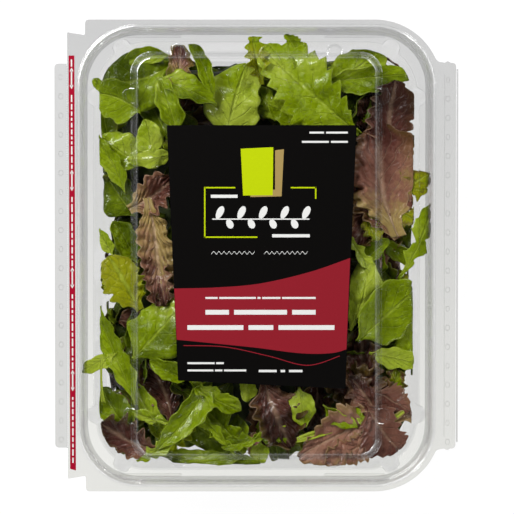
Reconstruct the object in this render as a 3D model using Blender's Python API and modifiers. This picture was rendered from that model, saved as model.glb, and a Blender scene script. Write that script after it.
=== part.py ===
"""A sealed clear clamshell pack of salad leaves, lying on its base with its lid up.

+Z is up, +Y runs along the long side to the pack's top edge, and the hinge is on the +X side. The origin
is on the surface that the pack lies on, under the middle of its outline. All sizes are in metres.
"""

import math

import bmesh
import bpy
from mathutils import Vector, noise

# The formed sheet, and the gap kept between pieces that touch.
SHEET = 0.0005
GAP = 0.0003

# Snap bead round the rim. The half sizes are those of its outer foot.
RIM_HALF = (0.0918, 0.1180)
RIM_RADIUS = 0.0310
BEAD_WIDTH = 0.0030
BEAD_HEIGHT = 0.0018
RIM_Z = 0.05625  # middle of the tray's flange sheet
RIM_ARC_STEPS = 8

# Tub, from the top of its wall down to its base.
TUB_HALF = (0.0825, 0.1100)
TUB_RADIUS = 0.0260
LEDGE_Z = RIM_Z - 0.0010
WALL_TAPER = 0.0042
STEP_Z = 0.0200
STEP_WIDTH = 0.0010
BASE_FILLET = 0.0030
TUB_ARC_STEPS = 14

# Half-round lugs that bulge out of the tub's corners and keep nested tubs apart.
TUB_LUG_RADIUS = 0.0046
TUB_LUGS = ((0.0693, 0.1072), (0.0825, 0.0815))
TUB_LUG_TOP_Z = 0.0440
TUB_LUG_FOOT_Z = 0.0340

# Lid, whose raised panel carries the label and has stacking lugs along its foot.
LID_RISE = SHEET + GAP
LID_LEDGE_DROP = 0.0010
PANEL_HALF = (0.0645, 0.1048)
PANEL_RADIUS = 0.0110
PANEL_SLOPE = 0.0036
PANEL_HEIGHT = 0.0070
PANEL_ARC_STEPS = 5
PANEL_LUG_RADIUS = 0.0042
PANEL_LUG_ON_SIDE = 0.0820
PANEL_LUG_ON_END = 0.0400
PANEL_LUG_STEPS = 6

# Flange outline: a square-cornered seal side at -X and a round-cornered hinge side at +X.
HALF_WIDTH = 0.1036
HALF_LENGTH = 0.1213
SEAL_EDGE_X = -0.0971
SEAL_CORNER_X = -0.0879
SEAL_NOTCH_Y = 0.1133
SEAL_EAR_Y = 0.1148
HINGE_TAB_Y = 0.0992
FLANGE_CORNER_RADIUS = 0.0343
FLANGE_CORNER_START = math.radians(27)
SMALL_CORNER = 0.0022

# Fold that joins lid and tray, and the tab that tears off along a line of holes.
FOLD_WIDTH = 0.0008
FOLD_HALF_LENGTH = 0.0960
TEAR_TAB_Y = 0.0987

# Printed pieces on the lid.
TAPE_WIDTH = 0.0030
TAPE_ENDS = ((-0.0948, 0.1028), (-0.0944, -0.1100))
TAPE_THICKNESS = 0.0002
LABEL_MIDDLE_X = 0.0027
LABEL_TOP_HALF = 0.0483
LABEL_BOTTOM_HALF = 0.0427
LABEL_TOP_Y = 0.0668
LABEL_BOTTOM_Y = (-0.0634, -0.0676)
LABEL_THICKNESS = 0.0002

# Heap of leaves that fills the tub.
HEAP_CLEAR = 0.0012
HEAP_WOBBLE = 0.0050
HEAP_TOP_Z = 0.0600
HEAP_EDGE_Z = 0.0500
HEAP_ARC_STEPS = 6
HEAP_SIDE_RINGS = 7
HEAP_TOP_RINGS = 8
NOISE_SCALE = 45.0

FLANGE_Z = RIM_Z + LID_RISE
LID_LEDGE_Z = FLANGE_Z + BEAD_HEIGHT - LID_LEDGE_DROP
PANEL_Z = LID_LEDGE_Z + PANEL_HEIGHT


def clear_scene():
    for old in list(bpy.data.objects):
        bpy.data.objects.remove(old, do_unlink=True)


def make_material(name, colour, roughness, alpha=1.0):
    material = bpy.data.materials.new(name)
    material.use_nodes = True
    shader = material.node_tree.nodes["Principled BSDF"]
    shader.inputs["Base Color"].default_value = (*colour, 1.0)
    shader.inputs["Roughness"].default_value = roughness
    shader.inputs["Metallic"].default_value = 0.0
    shader.inputs["Alpha"].default_value = alpha
    return material


def add_object(name, bm, collection, material):
    mesh = bpy.data.meshes.new(name)
    bm.to_mesh(mesh)
    bm.free()
    mesh.materials.append(material)
    obj = bpy.data.objects.new(name, mesh)
    collection.objects.link(obj)
    return obj


def sides_of(half, radius, arc_steps, x_marks=(), y_marks=()):
    """Points and outward normals round a rounded rectangle, anticlockwise from the lower end of the +X side.

    x_marks and y_marks are extra points on the straight sides, as ascending distances from the middle.
    """
    stations = []
    corners = ((1, 1, y_marks), (-1, 1, x_marks[::-1]), (-1, -1, y_marks[::-1]), (1, -1, x_marks))
    for turn, (sign_x, sign_y, marks) in enumerate(corners):
        start = turn * math.pi / 2
        along = Vector((math.cos(start), math.sin(start)))
        for mark in marks:
            on_side = (along.x * half[0], mark) if turn % 2 == 0 else (mark, along.y * half[1])
            stations.append((Vector(on_side), along.copy()))
        centre = Vector((sign_x * (half[0] - radius), sign_y * (half[1] - radius)))
        for step in range(arc_steps + 1):
            angle = start + step / arc_steps * math.pi / 2
            normal = Vector((math.cos(angle), math.sin(angle)))
            stations.append((centre + normal * radius, normal))
    return stations


def half_round(stations, centres, radius):
    """How far each station is pushed out by half-round lugs at these centres."""
    pushes = []
    for point, _ in stations:
        nearest = min((point - Vector(centre)).length for centre in centres)
        pushes.append(math.sqrt(max(0.0, radius**2 - nearest**2)))
    return pushes


def mirrored(points):
    return [(x * sx, y * sy) for x, y in points for sx in (1, -1) for sy in (1, -1)]


def add_ring(bm, stations, inset, z, pushes=None, push_share=0.0):
    """A ring of vertices at height z, moved in from the stations and out where there are lugs."""
    ring = []
    for i, (point, normal) in enumerate(stations):
        out = -inset + (pushes[i] * push_share if pushes else 0.0)
        x, y = point + normal * out
        ring.append(bm.verts.new((x, y, z)))
    return ring


def bridge(bm, first, second):
    """A band of faces between two rings with as many vertices."""
    for i in range(len(first)):
        j = (i + 1) % len(first)
        bm.faces.new((first[i], first[j], second[j], second[i]))


def edges_round(bm, ring):
    found = []
    for i, vertex in enumerate(ring):
        following = ring[(i + 1) % len(ring)]
        found.append(bm.edges.get((vertex, following)) or bm.edges.new((vertex, following)))
    return found


def fill_between(bm, outer, inner):
    """The flat area between two closed rings at one height."""
    edges = edges_round(bm, outer) + edges_round(bm, inner)
    bmesh.ops.triangle_fill(bm, use_beauty=True, edges=edges, normal=(0, 0, 1))


def softened(corners, steps=4):
    """A closed outline whose corners, given as (x, y, cut), are rounded off over the distance cut."""
    outline = []
    for i, (x, y, cut) in enumerate(corners):
        corner = Vector((x, y))
        if not cut:
            outline.append(corner)
            continue
        before = Vector(corners[i - 1][:2])
        after = Vector(corners[(i + 1) % len(corners)][:2])
        start = corner + (before - corner).normalized() * cut
        end = corner + (after - corner).normalized() * cut
        for step in range(steps + 1):
            t = step / steps
            outline.append(start * (1 - t) ** 2 + corner * 2 * t * (1 - t) + end * t**2)
    return outline


def flange_outline():
    """The outer edge that the tray's flange and the lid's flange share, anticlockwise."""
    hinge_x = HALF_WIDTH - FOLD_WIDTH - GAP
    arc_middle = (RIM_HALF[0] - RIM_RADIUS, HALF_LENGTH - FLANGE_CORNER_RADIUS)
    arc_steps = 9
    arc = []
    for step in range(arc_steps + 1):
        angle = FLANGE_CORNER_START + step / arc_steps * (math.pi / 2 - FLANGE_CORNER_START)
        x = arc_middle[0] + FLANGE_CORNER_RADIUS * math.cos(angle)
        y = arc_middle[1] + FLANGE_CORNER_RADIUS * math.sin(angle)
        arc.append((x, y, 0))
    neck_x = arc[0][0] + 0.0014
    upper = [
        (hinge_x, HINGE_TAB_Y, SMALL_CORNER),
        (neck_x, HINGE_TAB_Y + 0.0006, 0.0018),
        *arc,
        (SEAL_CORNER_X, HALF_LENGTH, SMALL_CORNER),
        (SEAL_CORNER_X, SEAL_NOTCH_Y, 0.0010),
        (SEAL_EDGE_X, SEAL_EAR_Y, 0.0006),
    ]
    lower = [(x, -y, cut) for x, y, cut in reversed(upper)]
    return softened(lower + upper)


def add_outline(bm, outline, z):
    return [bm.verts.new((point.x, point.y, z)) for point in outline]


def finish_shell(name, bm, collection, material):
    """Gives an open surface its wall."""
    bmesh.ops.recalc_face_normals(bm, faces=bm.faces)
    obj = add_object(name, bm, collection, material)
    wall = obj.modifiers.new("Wall", "SOLIDIFY")
    wall.thickness = SHEET
    wall.offset = 0.0
    wall.use_even_offset = True
    return obj


def add_bead(bm, foot_z, top_z, inner_z, spread):
    """The snap bead's rings from its outer foot to its inner foot, as (outer ring, inner ring)."""
    stations = sides_of(RIM_HALF, RIM_RADIUS, RIM_ARC_STEPS)
    profile = (
        (-spread, foot_z),
        (0.0003 - spread, top_z - 0.0003),
        (0.0007 - spread, top_z),
        (BEAD_WIDTH - 0.0007 + spread, top_z),
        (BEAD_WIDTH - 0.0003 + spread, top_z - 0.0003),
        (BEAD_WIDTH + spread, inner_z),
    )
    rings = [add_ring(bm, stations, inset, z) for inset, z in profile]
    for outer, inner in zip(rings, rings[1:]):
        bridge(bm, outer, inner)
    return rings[0], rings[-1]


def build_tray(collection, material):
    """The tub with its ledge, the snap bead and the lower flange."""
    bm = bmesh.new()
    end_of_arc = TUB_HALF[1] - TUB_RADIUS
    beside_lug = [end_of_arc - step * TUB_LUG_RADIUS / 2 for step in (3, 2, 1)]
    y_marks = [-mark for mark in reversed(beside_lug)] + beside_lug
    stations = sides_of(TUB_HALF, TUB_RADIUS, TUB_ARC_STEPS, y_marks=y_marks)
    pushes = half_round(stations, mirrored(TUB_LUGS), TUB_LUG_RADIUS)

    def inset_at(z):
        taper = WALL_TAPER * (LEDGE_Z - z) / LEDGE_Z
        return taper + (STEP_WIDTH if z < STEP_Z else 0.0)

    base_z = SHEET / 2
    profile = (
        (0.0, LEDGE_Z, 1.0),
        (0.0006, LEDGE_Z - 0.0012, 0.95),
        (inset_at(TUB_LUG_TOP_Z), TUB_LUG_TOP_Z, 0.9),
        (inset_at(TUB_LUG_FOOT_Z), TUB_LUG_FOOT_Z, 0.0),
        (inset_at(STEP_Z), STEP_Z, 0.0),
        (inset_at(STEP_Z - 0.0008), STEP_Z - 0.0008, 0.0),
        (inset_at(BASE_FILLET), BASE_FILLET, 0.0),
        (inset_at(0) + BASE_FILLET * 0.3, base_z + BASE_FILLET * 0.3, 0.0),
        (inset_at(0) + BASE_FILLET, base_z, 0.0),
    )
    rings = [add_ring(bm, stations, inset, z, pushes, share) for inset, z, share in profile]
    for upper, lower in zip(rings, rings[1:]):
        bridge(bm, upper, lower)
    bm.faces.new(rings[-1])

    bead_outer, bead_inner = add_bead(bm, RIM_Z, RIM_Z + BEAD_HEIGHT, LEDGE_Z, 0.0)
    fill_between(bm, bead_inner, rings[0])
    fill_between(bm, add_outline(bm, flange_outline(), RIM_Z), bead_outer)
    return finish_shell("tray", bm, collection, material)


def build_lid(collection, material):
    """The upper flange, the bead that snaps over the tray's, the ledge and the raised panel."""
    bm = bmesh.new()
    lug_spread = [PANEL_LUG_RADIUS * (2 * step / PANEL_LUG_STEPS - 1) for step in range(PANEL_LUG_STEPS + 1)]
    x_marks = [sign * PANEL_LUG_ON_END + offset for sign in (-1, 1) for offset in lug_spread]
    y_marks = [sign * PANEL_LUG_ON_SIDE + offset for sign in (-1, 1) for offset in lug_spread]
    stations = sides_of(PANEL_HALF, PANEL_RADIUS, PANEL_ARC_STEPS, x_marks, y_marks)
    lugs = mirrored(((PANEL_HALF[0], PANEL_LUG_ON_SIDE), (PANEL_LUG_ON_END, PANEL_HALF[1])))
    pushes = half_round(stations, lugs, PANEL_LUG_RADIUS)
    profile = (
        (0.0, 0.0, 1.0),
        (0.0006, 0.08, 0.95),
        (0.0016, 0.60, 0.85),
        (PANEL_SLOPE - 0.0008, 0.92, 0.0),
        (PANEL_SLOPE, 1.0, 0.0),
    )
    rings = [
        add_ring(bm, stations, inset, LID_LEDGE_Z + PANEL_HEIGHT * share, pushes, push)
        for inset, share, push in profile
    ]
    for lower, upper in zip(rings, rings[1:]):
        bridge(bm, lower, upper)
    bm.faces.new(rings[-1])

    bead_top = FLANGE_Z + BEAD_HEIGHT
    bead_outer, bead_inner = add_bead(bm, FLANGE_Z, bead_top, LID_LEDGE_Z, SHEET + GAP)
    fill_between(bm, bead_inner, rings[0])
    fill_between(bm, add_outline(bm, flange_outline(), FLANGE_Z), bead_outer)
    return finish_shell("lid", bm, collection, material)


def add_plate(name, outline, z, thickness, collection, material):
    """A flat piece of even thickness, standing on height z."""
    bm = bmesh.new()
    face = bm.faces.new(add_outline(bm, outline, z))
    top = bmesh.ops.extrude_face_region(bm, geom=[face])["geom"]
    moved = [item for item in top if isinstance(item, bmesh.types.BMVert)]
    bmesh.ops.translate(bm, verts=moved, vec=(0, 0, thickness))
    bmesh.ops.recalc_face_normals(bm, faces=bm.faces)
    return add_object(name, bm, collection, material)


def build_tear_tab(collection, material):
    """The two sheets that tear away together, outside the line of holes."""
    inner_x = SEAL_EDGE_X - GAP
    corners = (
        (-HALF_WIDTH, -TEAR_TAB_Y, SMALL_CORNER),
        (inner_x, -TEAR_TAB_Y, 0),
        (inner_x, TEAR_TAB_Y, 0),
        (-HALF_WIDTH, TEAR_TAB_Y, SMALL_CORNER),
    )
    thickness = FLANGE_Z - RIM_Z
    return add_plate("tear_tab", softened(corners), RIM_Z, thickness, collection, material)


def build_hinge(collection, material):
    """The folded edge that joins the tray's flange to the lid's."""
    inner_x = HALF_WIDTH - FOLD_WIDTH
    low = RIM_Z - SHEET / 2
    high = FLANGE_Z + SHEET / 2
    middle = (low + high) / 2
    bpy.ops.mesh.primitive_cube_add(size=1, location=((inner_x + HALF_WIDTH) / 2, 0, middle))
    hinge = bpy.context.object
    hinge.name = hinge.data.name = "hinge"
    hinge.scale = (FOLD_WIDTH, 2 * FOLD_HALF_LENGTH, high - low)
    bpy.ops.object.transform_apply(location=False, rotation=False, scale=True)
    hinge.data.materials.append(material)
    round_fold = hinge.modifiers.new("Round fold", "BEVEL")
    round_fold.width = FOLD_WIDTH * 0.4
    round_fold.segments = 2
    for holder in list(hinge.users_collection):
        holder.objects.unlink(hinge)
    collection.objects.link(hinge)
    return hinge


def build_tape(collection, material):
    """The printed strip along the seal side, which lies a little aslant."""
    (top_x, top_y), (bottom_x, bottom_y) = TAPE_ENDS
    half = TAPE_WIDTH / 2
    slant = 0.0004
    outline = (
        (top_x + half, top_y, 0),
        (top_x - half, top_y, 0),
        (bottom_x - half, bottom_y + slant, 0),
        (bottom_x + half, bottom_y - slant, 0),
    )
    z = FLANGE_Z + SHEET / 2 + GAP
    return add_plate("seal_tape", softened(outline), z, TAPE_THICKNESS, collection, material)


def build_label(collection, material):
    """The label on the lid's panel, narrower at its lower end."""
    corner = 0.0006
    left_y, right_y = LABEL_BOTTOM_Y
    outline = (
        (LABEL_MIDDLE_X + LABEL_TOP_HALF, LABEL_TOP_Y, corner),
        (LABEL_MIDDLE_X - LABEL_TOP_HALF, LABEL_TOP_Y, corner),
        (LABEL_MIDDLE_X - LABEL_BOTTOM_HALF, left_y, corner),
        (LABEL_MIDDLE_X + LABEL_BOTTOM_HALF, right_y, corner),
    )
    z = PANEL_Z + SHEET / 2 + GAP
    return add_plate("label", softened(outline), z, LABEL_THICKNESS, collection, material)


def wobble(x, y, z):
    """A smooth uneven value from 0 to 1."""
    return min(1.0, max(0.0, 0.5 + 0.8 * noise.noise(Vector((x, y, z)) * NOISE_SCALE)))


def build_heap(collection, material):
    """The leaves as one solid out to their uneven outline."""
    bm = bmesh.new()
    marks = [step * 0.018 for step in range(-4, 5)]
    x_marks = [step * 0.018 for step in range(-2, 3)]
    stations = sides_of(TUB_HALF, TUB_RADIUS, HEAP_ARC_STEPS, x_marks, marks)
    base_z = SHEET + HEAP_CLEAR
    clear = SHEET / 2 + HEAP_CLEAR

    rings = []
    for level in range(HEAP_SIDE_RINGS):
        z = base_z + (HEAP_EDGE_Z - base_z) * level / (HEAP_SIDE_RINGS - 1)
        taper = WALL_TAPER * (1 - z / LEDGE_Z) + STEP_WIDTH
        rounding = BASE_FILLET if level == 0 else 0.0
        ring = []
        for point, normal in stations:
            inset = clear + taper + rounding + HEAP_WOBBLE * wobble(point.x, point.y, z)
            x, y = point - normal * inset
            ring.append(bm.verts.new((x, y, z)))
        rings.append(ring)

    edge = [vertex.co.copy() for vertex in rings[-1]]
    for level in range(1, HEAP_TOP_RINGS):
        share = 1 - level / HEAP_TOP_RINGS
        rise = (HEAP_TOP_Z - HEAP_EDGE_Z) * (1 - share**3)
        ring = []
        for corner in edge:
            x, y = corner.x * share, corner.y * share
            lump = HEAP_WOBBLE * wobble(x, y, HEAP_TOP_Z)
            ring.append(bm.verts.new((x, y, HEAP_EDGE_Z + rise - lump * (1 - share**2))))
        rings.append(ring)

    for lower, upper in zip(rings, rings[1:]):
        bridge(bm, lower, upper)
    bm.faces.new(rings[0])
    crown = bm.verts.new((0, 0, HEAP_TOP_Z - HEAP_WOBBLE / 2))
    last = rings[-1]
    for i, vertex in enumerate(last):
        bm.faces.new((vertex, last[(i + 1) % len(last)], crown))
    bmesh.ops.recalc_face_normals(bm, faces=bm.faces)
    heap = add_object("salad_leaves", bm, collection, material)
    heap.data.shade_smooth()
    return heap


def main():
    clear_scene()
    pack = bpy.data.collections.new("Salad clamshell pack")
    bpy.context.scene.collection.children.link(pack)
    clear_sheet = make_material("Clear sheet", (0.80, 0.80, 0.78), 0.08, alpha=0.3)
    black_paper = make_material("Black label", (0.006, 0.006, 0.006), 0.35)
    red_film = make_material("Red tape", (0.30, 0.005, 0.02), 0.3)
    green_leaf = make_material("Salad leaves", (0.14, 0.24, 0.01), 0.45)
    build_tray(pack, clear_sheet)
    build_lid(pack, clear_sheet)
    build_tear_tab(pack, clear_sheet)
    build_hinge(pack, clear_sheet)
    build_tape(pack, red_film)
    build_label(pack, black_paper)
    build_heap(pack, green_leaf)


main()
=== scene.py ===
"""The looks of a sealed clear clamshell pack of salad leaves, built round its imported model."""

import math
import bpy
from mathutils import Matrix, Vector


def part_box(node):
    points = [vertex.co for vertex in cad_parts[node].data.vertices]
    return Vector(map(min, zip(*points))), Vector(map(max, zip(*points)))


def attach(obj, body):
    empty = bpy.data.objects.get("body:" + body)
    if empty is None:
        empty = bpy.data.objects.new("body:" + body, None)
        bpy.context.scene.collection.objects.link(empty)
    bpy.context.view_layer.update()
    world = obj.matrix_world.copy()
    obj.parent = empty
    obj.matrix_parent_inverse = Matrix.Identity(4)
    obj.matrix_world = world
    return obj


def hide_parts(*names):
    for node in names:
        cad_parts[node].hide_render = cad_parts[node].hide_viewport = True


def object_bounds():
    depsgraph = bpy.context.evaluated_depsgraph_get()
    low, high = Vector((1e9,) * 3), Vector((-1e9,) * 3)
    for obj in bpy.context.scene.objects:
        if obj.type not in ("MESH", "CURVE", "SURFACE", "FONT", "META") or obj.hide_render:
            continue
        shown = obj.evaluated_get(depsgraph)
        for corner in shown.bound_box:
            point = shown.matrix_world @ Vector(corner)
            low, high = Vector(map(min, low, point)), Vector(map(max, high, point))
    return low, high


bl_info = {
    "name": "Salad Clamshell Pack",
    "version": (1, 0, 0),
    "blender": (4, 5, 0),
    "location": "3D View > Sidebar > Salad Pack",
    "description": "Builds the film, leaves, label and seal of a clear salad clamshell",
    "category": "Add Mesh",
}

import bmesh
import bpy
import numpy as np
from bpy.props import FloatProperty, FloatVectorProperty, IntProperty, PointerProperty
from mathutils import Matrix, Vector, noise

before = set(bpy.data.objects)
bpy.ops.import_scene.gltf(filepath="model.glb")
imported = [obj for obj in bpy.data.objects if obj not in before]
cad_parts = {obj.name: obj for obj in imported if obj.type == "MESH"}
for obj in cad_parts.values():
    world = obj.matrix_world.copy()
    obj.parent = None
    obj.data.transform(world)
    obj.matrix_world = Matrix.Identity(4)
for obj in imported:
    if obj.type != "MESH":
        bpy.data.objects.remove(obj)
CAD_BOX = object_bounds()
MM = 0.001
LABEL_LOW, LABEL_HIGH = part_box("label")
TAPE_LOW, TAPE_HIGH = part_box("seal_tape")
TRAY_LOW, TRAY_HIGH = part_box("tray")
LID_LOW, LID_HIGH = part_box("lid")


def length(name, default, description=""):
    description = description or name
    return FloatProperty(name=name, default=default, unit="LENGTH", precision=5, description=description)


def colour(name, default, description=""):
    return FloatVectorProperty(
        name=name, default=default, subtype="COLOR", size=3, min=0, max=1, description=description or name
    )


class ShellSizes(bpy.types.PropertyGroup):
    """Sizes of the formed clear sheet."""

    sheet: length("Sheet", 0.0004, "Thickness of the formed sheet")
    rim_x: length("Rim half width", 0.0915, "Half the width over the snap bead")
    rim_y: length("Rim half length", 0.1182, "Half the length over the snap bead")
    rim_radius: length("Rim corner", 0.0310, "Corner radius of the snap bead")
    bead_width: length("Bead width", 0.0026, "Width of the snap bead")
    bead_height: length("Bead height", 0.0018, "Height of the snap bead")
    flange_z: length("Flange height", 0.05625, "Height of the tray's flange")
    rise: length("Lid rise", 0.0008, "How far the lid's sheet is above the tray's")
    tub_x: length("Tub half width", 0.0825, "Half the width of the tub's mouth")
    tub_y: length("Tub half length", 0.1100, "Half the length of the tub's mouth")
    tub_radius: length("Tub corner", 0.0260, "Corner radius of the tub's mouth")
    taper: length("Wall taper", 0.0042, "How far the wall leans in from mouth to base")
    step_z: length("Step height", 0.0200, "Height of the step in the tub's wall")
    step_width: length("Step width", 0.0010, "Width of the step in the tub's wall")
    base_fillet: length("Base fillet", 0.0030, "Rounding between wall and base")
    tub_lug: length("Tub lug", 0.0046, "Radius of the tub's corner lugs")
    panel_x: length("Panel half width", 0.0645, "Half the width of the panel's foot")
    panel_y: length("Panel half length", 0.1048, "Half the length of the panel's foot")
    panel_radius: length("Panel corner", 0.0110, "Corner radius of the panel's foot")
    panel_slope: length("Panel slope", 0.0036, "Run of the panel's sloped side")
    panel_height: length("Panel height", 0.0070, "Rise of the panel above the ledge")
    panel_lug: length("Panel lug", 0.0042, "Radius of the panel's stacking lugs")


class LeafSizes(bpy.types.PropertyGroup):
    """Sizes of the leaves and of the heap they make."""

    thickness: length("Leaf thickness", 0.0004, "Thickness of a leaf")
    lowest: length("Lowest layer", 0.0300, "Height of the lowest layer placed by hand")
    layer: length("Layer height", 0.0055, "Height from one layer to the next")
    clear: length("Clearance", 0.0008, "Gap kept between leaves and sheet")
    fillers: IntProperty(name="Fillers", default=150, description="Leaves spread through the rest of the tub")
    scraps: IntProperty(name="Scraps", default=80, description="Small pieces between the upper leaves")
    seed: IntProperty(name="Seed", default=11, description="Seed of the spread leaves")


class PackColours(bpy.types.PropertyGroup):
    """Colours of the sheet, the print and the leaves."""

    label_black: colour("Label black", (0.0030, 0.0026, 0.0024))
    band_red: colour("Band red", (0.270, 0.014, 0.024))
    lime: colour("Lime", (0.500, 0.620, 0.003))
    tan: colour("Tan", (0.380, 0.270, 0.095))
    print_white: colour("Print white", (0.80, 0.80, 0.78))
    tape_red: colour("Tape red", (0.360, 0.004, 0.024))
    green_dark: colour("Green, darkest", (0.040, 0.064, 0.0004))
    green_deep: colour("Green, deep", (0.102, 0.152, 0.0004))
    green_bright: colour("Green, bright", (0.255, 0.355, 0.0015))
    green_pale: colour("Green, pale", (0.430, 0.530, 0.0450))
    rib_pale: colour("Rib", (0.420, 0.520, 0.0500))
    maroon: colour("Maroon", (0.040, 0.014, 0.009))
    purple: colour("Purple brown", (0.115, 0.036, 0.026))
    rose: colour("Rose brown", (0.290, 0.130, 0.088))
    rib_rose: colour("Rose rib", (0.560, 0.380, 0.250))
    rose_pale: colour("Pale rose", (0.440, 0.235, 0.160))
    olive: colour("Olive", (0.440, 0.315, 0.1100))
    yellow_green: colour("Yellow green", (0.330, 0.350, 0.0040))
    frill: colour("Frill", (0.230, 0.190, 0.0100))


# ---------------------------------------------------------------- materials


class Socket:
    """A shader value that takes part in Python expressions."""

    def __init__(self, finish, socket):
        self.finish = finish
        self.socket = socket

    def maths(self, operation, *others):
        values = dict(enumerate((self, *others)))
        return self.finish.node("Math", values, settings={"operation": operation})

    def __add__(self, other):
        return self.maths("ADD", other)

    __radd__ = __add__

    def __mul__(self, other):
        return self.maths("MULTIPLY", other)

    __rmul__ = __mul__

    def __sub__(self, other):
        return self.maths("SUBTRACT", other)

    def __rsub__(self, other):
        return self.finish.node("Math", {0: other, 1: self}, settings={"operation": "SUBTRACT"})

    def __pow__(self, other):
        return self.maths("POWER", other)

    def __abs__(self):
        return self.maths("ABSOLUTE")

    def held(self):
        """Kept between 0 and 1."""
        return self.finish.node("Clamp", {"Value": self})

    def between(self, low, high):
        """0 below low, 1 above high, smooth between them."""
        return self.finish.node(
            "MapRange",
            {"Value": self, "From Min": low, "From Max": high},
            settings={"interpolation_type": "SMOOTHSTEP"},
        )


class Finish:
    """A material's node tree."""

    def __init__(self, name):
        self.material = bpy.data.materials.new(name)
        self.material.use_nodes = True
        self.tree = self.material.node_tree
        self.tree.nodes.clear()

    def node(self, kind, values=None, output=0, settings=None, stops=None):
        """Adds a node of this type, sets it, gives its inputs values or links, and returns one output."""
        made = self.tree.nodes.new("ShaderNode" + kind)
        for name, value in (settings or {}).items():
            setattr(made, name, value)
        if stops:
            ramp = made.color_ramp
            while len(ramp.elements) < len(stops):
                ramp.elements.new(0.5)
            for element, (place, shade) in zip(ramp.elements, stops):
                element.position = place
                element.color = (*shade, 1.0)
        for name, value in (values or {}).items():
            if isinstance(value, Socket):
                self.tree.links.new(value.socket, made.inputs[name])
            elif isinstance(value, (int, float)) or made.inputs[name].type != "RGBA":
                made.inputs[name].default_value = value
            else:
                made.inputs[name].default_value = (*value, 1.0)
        return Socket(self, made.outputs[output]) if made.outputs else None

    def blend(self, share, first, second, how="MIX"):
        """A colour between first and second."""
        return self.node(
            "Mix", {0: share, 6: first, 7: second}, output=2, settings={"data_type": "RGBA", "blend_type": how}
        )

    def attribute(self, name):
        return self.node("Attribute", output=2, settings={"attribute_name": name})

    def object_place(self):
        return self.node("TexCoord", output=3)

    def noise(self, scale, detail=2.0, place=None):
        values = {"Vector": place or self.object_place(), "Scale": scale, "Detail": detail}
        return self.node("TexNoise", values)

    def surface(self, shader):
        self.node("OutputMaterial", {"Surface": shader})
        return self.material

    def principled(self, **values):
        inputs = {name.replace("_", " "): value for name, value in values.items()}
        return self.surface(self.node("BsdfPrincipled", inputs))


def film_finish(name, clearness, edge_clearness, mirror, painted_far_shade=0.0, shine=0.070):
    """Clear formed sheet: it lets most light through, greys where it is steep, and mirrors lamps. Its flat parts let
    less light through toward the +Y end, a painted shade.
    """
    finish = Finish(name)
    facing = finish.node("LayerWeight", {"Blend": 0.5}, output=1)
    along = finish.node("SeparateXYZ", {0: finish.object_place()}, 1)
    near = finish.node("BsdfTransparent", {"Color": (clearness, clearness, clearness * 0.99)})
    # far: the flat sheet made less clear toward the +Y end, a painted shade standing in for the shadow under the pack's
    # far side.
    far = finish.node("BsdfTransparent", {"Color": (clearness - painted_far_shade,) * 3})
    flat = finish.node("MixShader", {0: (along * 4.3 + 0.5).held(), 1: near, 2: far})
    steep = finish.node("BsdfTransparent", {"Color": (edge_clearness,) * 3})
    through = finish.node("MixShader", {0: facing.between(0.02, 0.60), 1: flat, 2: steep})
    gloss = finish.node("BsdfGlossy", {"Color": (1.0, 1.0, 1.0), "Roughness": 0.10})
    share = (facing.between(0.006, 0.05) * shine + facing**4 * 0.08 + mirror).held()
    return finish.surface(finish.node("MixShader", {0: share, 1: through, 2: gloss}))


def leaf_finish(name, kind, shades, rib, rim, rib_width=0.05, paler=0.0, lean=-0.10, gloss=0.40, lined=0.22):
    """Leaf surface from the leaf's own map: ribs, a fine net, mottling, tone, a tinted rim, and painted light and shade
    that make one side of the midrib lighter than the other.
    """
    finish = Finish(name)
    ribs = KINDS[kind]["ribs"]
    own = finish.node("UVMap", settings={"uv_map": "leaf"})
    place = finish.node("SeparateXYZ", {0: own}, 0)
    across = abs(finish.node("SeparateXYZ", {0: own}, 1) * 2.0 - 1.0)
    tone = finish.attribute("tone")
    blush = finish.attribute("blush")
    cloud = finish.noise(44.0, 3.0)
    speck = finish.noise(420.0, 2.0)
    wander = (finish.noise(90.0, 1.0) - 0.5) * 0.45
    cells = {"Vector": finish.object_place(), "Scale": 330.0}
    net = finish.node("TexVoronoi", cells, settings={"feature": "DISTANCE_TO_EDGE"}).between(0.0, 0.22)
    # half paints light and shade: one side of the midrib is made lighter and the other darker, as if the leaf were lit
    # from one side.
    half = finish.node("SeparateXYZ", {0: own}, 1).between(0.42, 0.58) - 0.5
    level = tone + paler + (cloud - 0.5) * 1.30 + (speck - 0.5) * 0.25
    level = level + place * lean + half * 0.16 - (net - 0.6) * 0.06
    stops = [(i / (len(shades) - 1), shade) for i, shade in enumerate(shades)]
    body = finish.node("ValToRGB", {"Fac": level.held()}, stops=stops)
    edge = (across * 1.1 + place * 0.25 + (cloud - 0.5) * 1.1).between(0.75, 1.15)
    body = finish.blend((blush * edge).held(), body, rim)
    midrib = 1.0 - across.between(rib_width * 0.2, rib_width * 1.5)
    phase = (place * ribs[0] - across * ribs[1] + wander).maths("FRACT")
    side = 1.0 - (abs(phase - 0.5) * 2.0).between(0.02, 0.15)
    side = side * (1.0 - across.between(0.40, 0.95))
    hem = across.between(0.90, 0.99) * 0.45
    lines = (midrib * (0.85 - place * 0.45) + side * lined + hem).held() * (level.held() * 0.65 + 0.35)
    body = finish.blend(lines, body, rib)
    swell = finish.noise(150.0, 1.0) * 1.2 + finish.noise(60.0, 1.0) * 3.0
    height = net * 0.12 + speck * 0.12 - side * 0.30 - midrib * 0.5 + swell
    bump = finish.node("Bump", {"Strength": 0.9, "Distance": 0.0012, "Height": height})
    return finish.principled(
        Base_Color=body,
        Roughness=(speck * 0.22 + cloud * 0.20 + (gloss - 0.30)).held(),
        Normal=bump,
        Specular_IOR_Level=0.14,
        Coat_Weight=(cloud.between(0.38, 0.66) * 0.70 + 0.05).held(),
        Coat_Roughness=0.16,
    )


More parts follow.
